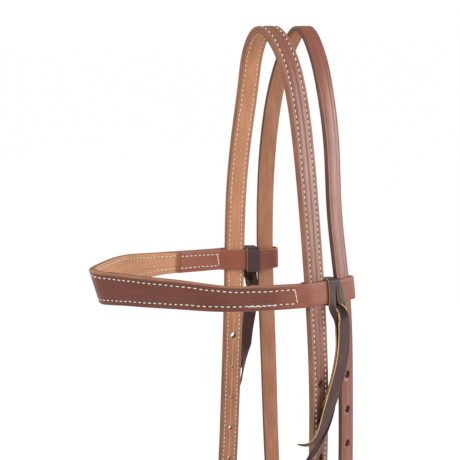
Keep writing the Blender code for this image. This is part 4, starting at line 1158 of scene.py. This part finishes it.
def bent(place, path, side):
    """A route through points up and out from a place, on its own side of the head."""
    points = [moved(place, up=up, out=out).origin for up, out in path]
    return on_side(route(points, [place.across] * len(points)), side)


def ring(points, across, side):
    """A closed route on its own side of the head."""
    points = [*points, points[0]]
    return on_side(route(points, [across] * len(points)), side)


square = rounded([(0, 0), (0, 1), (1, 1), (1, 0)], [0.1] * 4)
print(f"a square with round corners has {len(square)} points")

# %% Buckles
FRAME_RADII = (0.0022, 0.0022, 0.0034, 0.0034)
EYE_TURN = math.radians(262)
TONGUE_BEND = 0.0045
TONGUE_NOSE = 0.0022
RING_STEP = 0.002


def buckle_frame(side, place, buckle, body, node):
    """The round bar bent to a frame, resting on the billet."""
    rise = billet_inside(buckle) + buckle.billet + GAP + buckle.bar
    tilt = math.asin(rise / buckle.reach)
    half = buckle.inner_width / 2 + buckle.bar
    outline = rounded([(-half, 0.0), (half, 0.0), (half, buckle.reach), (-half, buckle.reach)],
                      FRAME_RADII)
    points = [moved(place, s, a * math.cos(tilt), a * math.sin(tilt)).origin for s, a in outline]
    line = ring(points, unit(place.out * math.cos(tilt) - place.up * math.sin(tilt)), side)
    bar = carry(cut_strip(round_section(buckle.bar), stations(line, RING_STEP), 0.001), line)
    hang(f"{node}_frame_steel", bar, [steel], f"{body}_frame", "stainless_steel",
         f"{node}_buckle", close=True)


def buckle_tongue(side, place, buckle, body, node):
    """The tongue: an eye round the heel bar, a shank up through the hole and a nose."""
    eye = buckle.bar + GAP + buckle.tongue
    leave = TONGUE_RISE - math.pi / 2
    path = [(eye * math.cos(leave - EYE_TURN * (1 - k / 24)),
             eye * math.sin(leave - EYE_TURN * (1 - k / 24))) for k in range(25)]
    top = billet_inside(buckle) + buckle.billet
    front = math.sqrt(buckle.reach ** 2 - (top + GAP + buckle.bar) ** 2)
    clear = top + GAP + buckle.tongue
    over = top + 2 * GAP + 2 * buckle.bar + buckle.tongue
    corners = [path[-1], (tongue_up(buckle, clear), clear), (front, over),
               (front + buckle.bar + TONGUE_NOSE, over - GAP)]
    shank = rounded(corners, (0.0, TONGUE_BEND, TONGUE_BEND, 0.0), closed=False)
    line = bent(place, path + [tuple(point) for point in shank[1:]], side)
    end = line.length[-1]

    def thin(reach):
        return float(np.interp(reach, (0.0, 0.002, end - 0.004, end - 0.0006, end),
                               (0.75, 1, 1, 0.85, 0.4)))
    prong = cut_strip(round_section(buckle.tongue, 14), stations(line, RING_STEP), 0.001,
                      thin, thin)
    hang(f"{node}_prong_steel", carry(prong, line), [steel], f"{body}_prong", "stainless_steel",
         f"{node}_tongue")


print("buckles are bent from round bar")

# %% Keepers
KEEPER_PLY = 0.0018
KEEPER_HALF = 0.005
KEEPER_PLAY = 0.0005
FIXED_BELOW = 0.0185
SLIDING_BELOW = 0.0390
keeper_section = cross_section(-KEEPER_PLY / 2, KEEPER_PLY / 2, 0.0002, 0.0005,
                               edge_grooves(0.0013, 0.0004, 0.00018))


def keepers(side, place, buckle, body, node):
    """The sewn and the loose loop of leather below a heel bar."""
    inner = bar_fold(buckle)[0] - buckle.strap / 2
    outer = billet_inside(buckle) + buckle.billet
    half_out = (outer - inner) / 2 + KEEPER_PLAY + KEEPER_PLY / 2
    half_across = buckle.strap_width / 2 + KEEPER_PLAY + KEEPER_PLY / 2
    corners = [(-half_across, -half_out), (half_across, -half_out), (half_across, half_out),
               (-half_across, half_out)]
    outline = rounded(corners, [0.0016] * 4, steps=6)
    for kind, below, rider in (("fixed", FIXED_BELOW, "headstall"),
                               ("sliding", SLIDING_BELOW, f"{body}_slide")):
        centre = moved(place, up=-below, out=(outer + inner) / 2)
        line = ring([moved(centre, s, 0.0, o).origin for s, o in outline], -centre.up, side)
        keeper = cut_strip(keeper_section, stations(line, RING_STEP), KEEPER_HALF)
        hang(f"{node}_{kind}_keeper_leather", carry(keeper, line), [bridle], rider,
             "bridle_leather", f"{node}_{kind}_keeper", close=True)


print(f"keepers are {2000 * KEEPER_HALF:.0f} mm wide")

# %% Cheek straps
BIT_FOLD_RADIUS = 0.0050 + CHEEK_PLY / 2
BIT_BELOW_HEEL = 0.115
CHEEK_LAP_END = 0.052
CHEEK_SLOT_LENGTH = 0.021
cheek_section = cross_section(-CHEEK_PLY / 2, CHEEK_PLY / 2, 0.0004, 0.0007,
                              edge_grooves(0.0030, 0.0007, 0.0002))


def cheek_strap(side):
    """One strap folded over the heel bar and round the bit, and screwed to itself."""
    lap, middle, over_bar = bar_fold(CHEEK_BUCKLE)
    centre = middle - BIT_FOLD_RADIUS
    level = centre - BIT_FOLD_RADIUS
    path = [(-CHEEK_LAP_END, lap)] + over_bar
    path += [(-BIT_BELOW_HEEL - BIT_FOLD_RADIUS * math.sin(math.pi * k / 28),
              centre + BIT_FOLD_RADIUS * math.cos(math.pi * k / 28)) for k in range(29)]
    path += [(-BIT_BELOW_HEEL + FOLD_REACH * share, level + (lap - level) * eased(share))
             for share in SIXTEENTHS[1:]]
    path.append((-CHEEK_LAP_END - 0.001, lap))
    line = bent(cheek_heel, path, "near")
    heel_reach = reach_of(line, moved(cheek_heel, up=middle).origin)
    tongue_slot = (0.0, heel_reach, 2 * (CHEEK_BUCKLE.tongue + SLOT_PLAY), CHEEK_SLOT_LENGTH)
    strip = punched(cut_strip(cheek_section, stations(line), CHEEK_WIDTH / 2), [tongue_slot],
                    hole_wall, (-CHEEK_PLY / 2, CHEEK_PLY / 2))
    hang(f"{side}_cheek_leather", carry(strip, on_side(line, side)), [bridle, hole_wall],
         "headstall", "bridle_leather", f"{side}_cheek_strap")


for side in ("near", "off"):
    cheek_strap(side)
    for fitting in (buckle_frame, buckle_tongue, keepers):
        fitting(side, cheek_heel, CHEEK_BUCKLE, f"{side}_cheek", f"{side}_cheek")
for fitting in (buckle_frame, buckle_tongue, keepers):
    fitting("near", throat_heel, THROAT_BUCKLE, "throatlatch", "throatlatch")
for name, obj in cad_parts.items():
    if "bit_screw" in name:
        obj.data.materials.clear()
        obj.data.materials.append(steel)
print("cheek straps, buckles and keepers are on")

# %% [markdown]
# ## The latigo ties
#
# Each loop is closed between its two straps by one thong of oiled latigo.  It goes round the
# loop, a slit is cut in its outer end, and the other end comes under the loop, out through
# the slit and down.  The slit is a real cut on the flat strip; each side of it then follows
# a line of its own, and below the knot the two lines are one again.  A knot sculpted as a
# lump would have no edges to catch the light, and the gold raw edges are what shows.

# %% Where a tie goes
MM = 0.001
ROUND_HALF = 0.0068
TAIL_HALF = TIE_WIDTH / 2
SLIT = 0.0021
LEG_SHIFTS = ((SLIT - ROUND_HALF) / 2, (SLIT + ROUND_HALF) / 2)
PASS_HALF = 0.0026
NEAR_RIM = 0.30
HANGING_BACK = 0.0030
BLEND_LENGTH = 0.016
THONG_STEP = 0.0016
front_edge = moved(crown_in_loop, half_crown, -half_crown * BAND_LOOP_FALL).origin
rear_edge = moved(throat_in_loop, -half_throat, half_throat * BAND_LOOP_FALL).origin
backward = unit(rear_edge - front_edge)
upward = unit(crown_in_loop.up + throat_in_loop.up)
waist = Place((front_edge + rear_edge) / 2, backward, upward, unit(np.cross(backward, upward)))
room = float(np.linalg.norm(rear_edge - front_edge))
waist_leg = crown_clear + (throat_clear - crown_clear) * (room - TIE_WIDTH) / 2 / room
TIE_OUT = waist_leg + BAND_OUTER / 2 + GAP + TIE_PLY / 2
TIE_UP = BAND_LOOP_HEIGHT / 2 + GAP + TIE_PLY / 2
KNOT_FOOT = -0.02625
left_leg = (  # back, up and out from the middle of the loop in mm, lean and share of the width
    (-2.9, 0.0, 6.65, 0.0, 0.76), (-3.6, -6.0, 6.9, -0.05, 0.76), (-5.0, -11.5, 7.4, -0.32, 0.75),
    (-3.6, -19.0, 7.2, -1.3, 0.55), (-0.4, -24.0, 6.4, -1.1, 0.55), (2.6, -29.0, 5.2, -0.2, 0.8))
right_leg = (
    (5.7, 1.0, 6.8, 0.0, 1.40), (5.6, -4.0, 7.6, 0.0, 1.52), (6.4, -9.2, 8.3, 0.05, 1.42),
    (7.6, -14.3, 7.6, 0.2, 1.2), (8.1, -20.0, 6.5, 0.2, 1.0), (8.6, -28.0, 5.4, 0.0, 1.0))
pulled_end = (  # back, up, out and half width of the other end in mm, and its hollow in 1/mm
    (0.6, -12.6, 5.8, 3.0, 0.42), (0.7, -12.5, 7.6, 3.4, 0.38), (1.3, -13.6, 9.2, 4.2, 0.30),
    (2.4, -16.2, 9.9, 5.0, 0.22), (3.7, -19.8, 9.6, 5.8, 0.13), (4.9, -23.5, 9.2, 6.2, 0.05),
    (5.6, -27.5, 8.9, 6.35, 0.0), (6.3, -34.0, 8.0, 6.35, 0.0))


def by_knot(back, up, out):
    """A point near the knot, in millimetres from the middle of the loop."""
    return moved(waist, back * MM, up * MM, out * MM).origin


def guided(points, guides):
    """Directions across a thong whose face looks the way of its guides."""
    across = np.cross(guides, np.gradient(points, axis=0))
    return across / np.linalg.norm(across, axis=1)[:, None]


def tail_rows(back, out, shares, sway):
    """Points and half widths of a hanging end, as the frame has it."""
    x, y, z = moved(waist, back, KNOT_FOOT, out).origin
    return [(x + (outward + curl * sway) * TAIL_STANDOFF, y - forward * TAIL_SWEEP * sway,
             z - down * TAIL_DROP, TAIL_HALF * width)
            for down, forward, outward, curl, width in shares]


print(f"the thong's turn is {2000 * TIE_OUT:.1f} mm through and {2000 * TIE_UP:.1f} mm high")

# %% The slit end


def leg_line(rows, shift, turned, hanging, guides):
    """One side of the slit: round the loop, beside the knot and down, and shares of width."""
    first = [(*(point + waist.across * shift), 0.0, 1.0) for point in turned[-1:]]
    rows = first + [(*by_knot(*row[:3]), *row[3:]) for row in rows]
    rows += [(*(hanging[k] + guides[k] * shift), 0.0, 1.0) for k in (0, PER_SPAN)]
    curve = smooth_through(rows)[:-PER_SPAN]
    leaning = waist.out + waist.across * curve[:, 3:4]
    across = guided(curve[:, :3], leaning)
    middles = np.vstack((turned[:-1] + waist.across * shift, curve[:-1, :3],
                         hanging + guides * shift))
    acrosses = np.vstack(([waist.across] * (len(turned) - 1), across[:-1], guides))
    shares = np.concatenate((np.ones(len(turned) - 1), curve[:-1, 4], np.ones(len(hanging))))
    return middles, acrosses, shares


def carry_slit(bm, lines, shares):
    """Bend a slit thong: each side of the slit follows its own route."""
    flat = np.array([vert.co[:] for vert in bm.verts])
    beyond = flat[:, 0] > SLIT
    bent = np.zeros_like(flat)
    for line, shift, share, part in zip(lines, LEG_SHIFTS, shares, (~beyond, beyond)):
        middle, across, out = at(line, flat[part, 1])
        aside = (flat[part, 0] - shift) * np.interp(flat[part, 1], line.length, share)
        bent[part] = middle + across * aside[:, None] + out * flat[part, 2:]
    for vert, spot in zip(bm.verts, bent):
        vert.co = spot
    return bm


thong_steps = [(share, 0.0, 0.0) for share in (-0.75, -0.5, -0.25, 0.0, 0.5, 0.75)]
thong_section = cross_section(-TIE_PLY / 2, TIE_PLY / 2, 0.0002, 0.0004, thong_steps,
                              thong_steps[::-1])
THONG_BACK = 0.0003  # behind the loop's middle, and slanted where it passes below the loop
PASS_SLANT = 0.0013
PASS_TIP = (0.0075, -0.0122)  # out and up, as the thong's other turns
PASS_LEVEL = -0.0119
UNDER_LOOP = -0.0115
TURN_END = 0.0055
TURN_RADII = (0.0, 0.0022, 0.0018, 0.0018, 0.0)
TAIL_TURN = ((0.45, 0.78), (0.0, 2.0))  # shares of the hanging end, and how far its face turns


def slit_thong(side, sway):
    """The end that goes round the loop and carries the slit, down to its tip."""
    corners = [PASS_TIP, (-TIE_OUT, PASS_LEVEL), (-TIE_OUT, TIE_UP), (TIE_OUT, TIE_UP),
               (TIE_OUT, TURN_END)]
    path = rounded(corners, TURN_RADII, closed=False)
    turned = np.array([moved(waist, (THONG_BACK + PASS_SLANT * (out + TIE_OUT) / (2 * TIE_OUT))
                             if up < UNDER_LOOP else THONG_BACK, up, out).origin
                       for out, up in path])
    hanging = smooth_through(tail_rows(HANGING_BACK, TIE_OUT - TIE_PLY - GAP, long_end_shares,
                                       sway))
    turning = np.interp(np.arange(len(hanging)) / len(hanging), *TAIL_TURN)
    guides = guided(hanging[:, :3], waist.out - waist.across * turning[:, None])
    lines = [leg_line(rows, shift, turned, hanging[:, :3], guides)
             for rows, shift in zip((left_leg, right_leg), LEG_SHIFTS)]
    reach = np.mean([run_of(middles) for middles, _, _ in lines], axis=0)
    routes = [Route(reach, middles, acrosses,
                    np.cross(np.gradient(middles, reach, axis=0), acrosses))
              for middles, acrosses, _ in lines]
    slit_start = reach[len(turned) - 1]
    slit_end = reach[-len(hanging)]
    halves = np.interp(reach, (0.0, 0.004, 0.013, slit_start, slit_end),
                       (PASS_HALF, PASS_HALF, ROUND_HALF, ROUND_HALF, TAIL_HALF))
    halves[-len(hanging):] = hanging[:, 3]
    strip = cut_strip(thong_section, stations(routes[0], THONG_STEP),
                      lambda far: float(np.interp(far, reach, halves)))
    cut = (SLIT, (slit_start + slit_end) / 2, 0.0003, slit_end - slit_start)
    strip = punched(strip, [cut], raw_edge, (-TIE_PLY / 2, TIE_PLY / 2))
    return carry_slit(strip, [on_side(line, side) for line in routes],
                      [shares for _, _, shares in lines])


print(f"the slit lies {SLIT * 1000} mm behind the thong's middle")

# %% The pulled end
FACE_LIFT = 0.6  # how far its face looks up where it comes out of the slit


def cupped(bm, line, hollows):
    """The thong rolled into a gutter that opens on its flesh side, more at its rear rim."""
    for vert in bm.verts:
        hollow = float(np.interp(vert.co.y, line.length, hollows))
        radius = 1 / max(hollow if vert.co.x > 0 else hollow * NEAR_RIM, 1.0)
        turn = vert.co.x / radius
        reach = radius + vert.co.z
        vert.co.x = reach * math.sin(turn)
        vert.co.z = reach * math.cos(turn) - radius
    return carry(bm, line)


def pulled_thong(side, sway):
    """The end that comes out through the slit and hangs in front, flesh side out."""
    rows = [(*by_knot(*row[:3]), row[3] * MM, row[4] / MM) for row in pulled_end]
    lifted, level = ((len(rows) - k) * PER_SPAN for k in (3, 1))
    rows += [(*row, 0.0) for row in tail_rows(HANGING_BACK, TIE_OUT, short_end_shares, sway)]
    curve = smooth_through(rows)
    lift = np.interp(np.arange(len(curve)), (0, lifted, level), (FACE_LIFT, FACE_LIFT, 0))
    acrosses = guided(curve[:, :3], waist.out + waist.up * lift[:, None])
    line = route(curve[:, :3], acrosses, -1)
    strip = cut_strip(thong_section, stations(line, THONG_STEP),
                      lambda far: float(np.interp(far, line.length, curve[:, 3])))
    return cupped(strip, on_side(line, side), curve[:, 4])


print(f"the pulled end's rim rolls to a radius of {1 / pulled_end[0][4]:.1f} mm")

# %% Ties on their loops


def blended(name, bm, side, leathers, *nodes):
    """A thong put in the scene in place of its CAD nodes, its shape baked into world space."""
    obj = dressed(name, bm, leathers, nodes)
    hinge, free = (moved(waist, HANGING_BACK, KNOT_FOOT - drop, TIE_OUT).origin
                   * (FLIP if side == "off" else 1) for drop in (0.0, BLEND_LENGTH))
    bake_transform(obj)


for side, sway in (("near", 1.0), ("off", OFF_TAIL_SWAY_SHARE)):
    blended(f"{side}_tie_slit_thong", slit_thong(side, sway), side, (latigo, raw_edge),
            f"{side}_tie_wrap", f"{side}_tie_knot", f"{side}_tie_back_tail")
    blended(f"{side}_tie_pulled_end", pulled_thong(side, sway), side, (latigo_end,),
            f"{side}_tie_front_tail")
print(f"ties: {TIE_WIDTH * 1000:.1f} mm thongs with slits round both loops")

# %% [markdown]
# ## Light and camera
#
# The photograph shows the headstall hanging before plain white, under large soft lamps.

# %% World and lamps
WORLD_LIGHT = 0.46
AIM = (0.0, -0.04, -0.25)
world = bpy.data.worlds.new("studio")
scene.world = world
world.use_nodes = True
tree = world.node_tree
background = tree.nodes["Background"]
rays = add(tree, "LightPath").outputs
seen = maths(tree, "MAXIMUM", rays["Is Camera Ray"], rays["Is Transmission Ray"])
tree.links.new(add(tree, "Mix", {0: seen, 2: WORLD_LIGHT, 3: 1.0}).outputs[0],
               background.inputs["Strength"])
background.inputs["Color"].default_value = (1.0, 1.0, 1.0, 1.0)

for name, spot, size, power in (
        ("key", (0.45, -1.15, 0.65), 0.9, 18), ("side", (0.80, 1.18, 0.02), 0.85, 19),
        ("fill", (-1.1, -0.7, 0.3), 1.0, 6), ("rear", (-0.45, 1.25, 0.0), 0.8, 8)):
    data = bpy.data.lights.new(name, "AREA")
    data.shape = "SQUARE"
    data.size = size
    data.energy = power
    lamp = bpy.data.objects.new(name, data)
    scene.collection.objects.link(lamp)
    lamp.location = spot
    lamp.rotation_euler = (Vector(AIM) - Vector(spot)).to_track_quat("-Z", "Y").to_euler()
print(f"{len(bpy.data.lights)} lamps")

# %% Floor
FLOOR_LEVEL = -0.95
floor_bm = bmesh.new()
bmesh.ops.create_grid(floor_bm, x_segments=1, y_segments=1, size=30.0)
bmesh.ops.translate(floor_bm, verts=floor_bm.verts, vec=(0.0, 0.0, FLOOR_LEVEL))
floor = bpy.data.objects.new("floor", mesh_of("floor", floor_bm))
scene.collection.objects.link(floor)
paper, tree, shader = new_material("white_paper", "")
shader.inputs["Base Color"].default_value = (0.90, 0.90, 0.90, 1.0)
shader.inputs["Roughness"].default_value = 1.0
rays = add(tree, "LightPath").outputs
seen = maths(tree, "MAXIMUM", rays["Is Camera Ray"],
             maths(tree, "MAXIMUM", rays["Is Glossy Ray"], rays["Is Transmission Ray"]))
white = add(tree, "Emission", {"Strength": 1.06})
shown = add(tree, "MixShader", {0: maths(tree, "MULTIPLY", seen, 0.90), 1: shader.outputs[0],
                                2: white.outputs[0]})
tree.links.new(shown.outputs[0], tree.nodes["Material Output"].inputs["Surface"])
floor.data.materials.append(paper)
print(f"the floor is {-FLOOR_LEVEL} m below the poll")

# %% Camera
CAMERA_PLACE = (0.619577, -0.407174, 0.010800)
camera = bpy.data.cameras.new("camera")
camera.lens = 67.277
camera.sensor_width = 36.0
camera.clip_start = 0.01
eye = bpy.data.objects.new("camera", camera)
scene.collection.objects.link(eye)
back = Vector((0.83526, -0.49597, 0.23738)).normalized()
right = Vector((0.51423, 0.85747, -0.01787)).normalized()
eye.matrix_world = Matrix.Translation(CAMERA_PLACE) @ Matrix(
    (right, back.cross(right), back)).transposed().to_4x4()
scene.camera = eye
print(f"the camera is {Vector(CAMERA_PLACE).length:.2f} m from the poll")
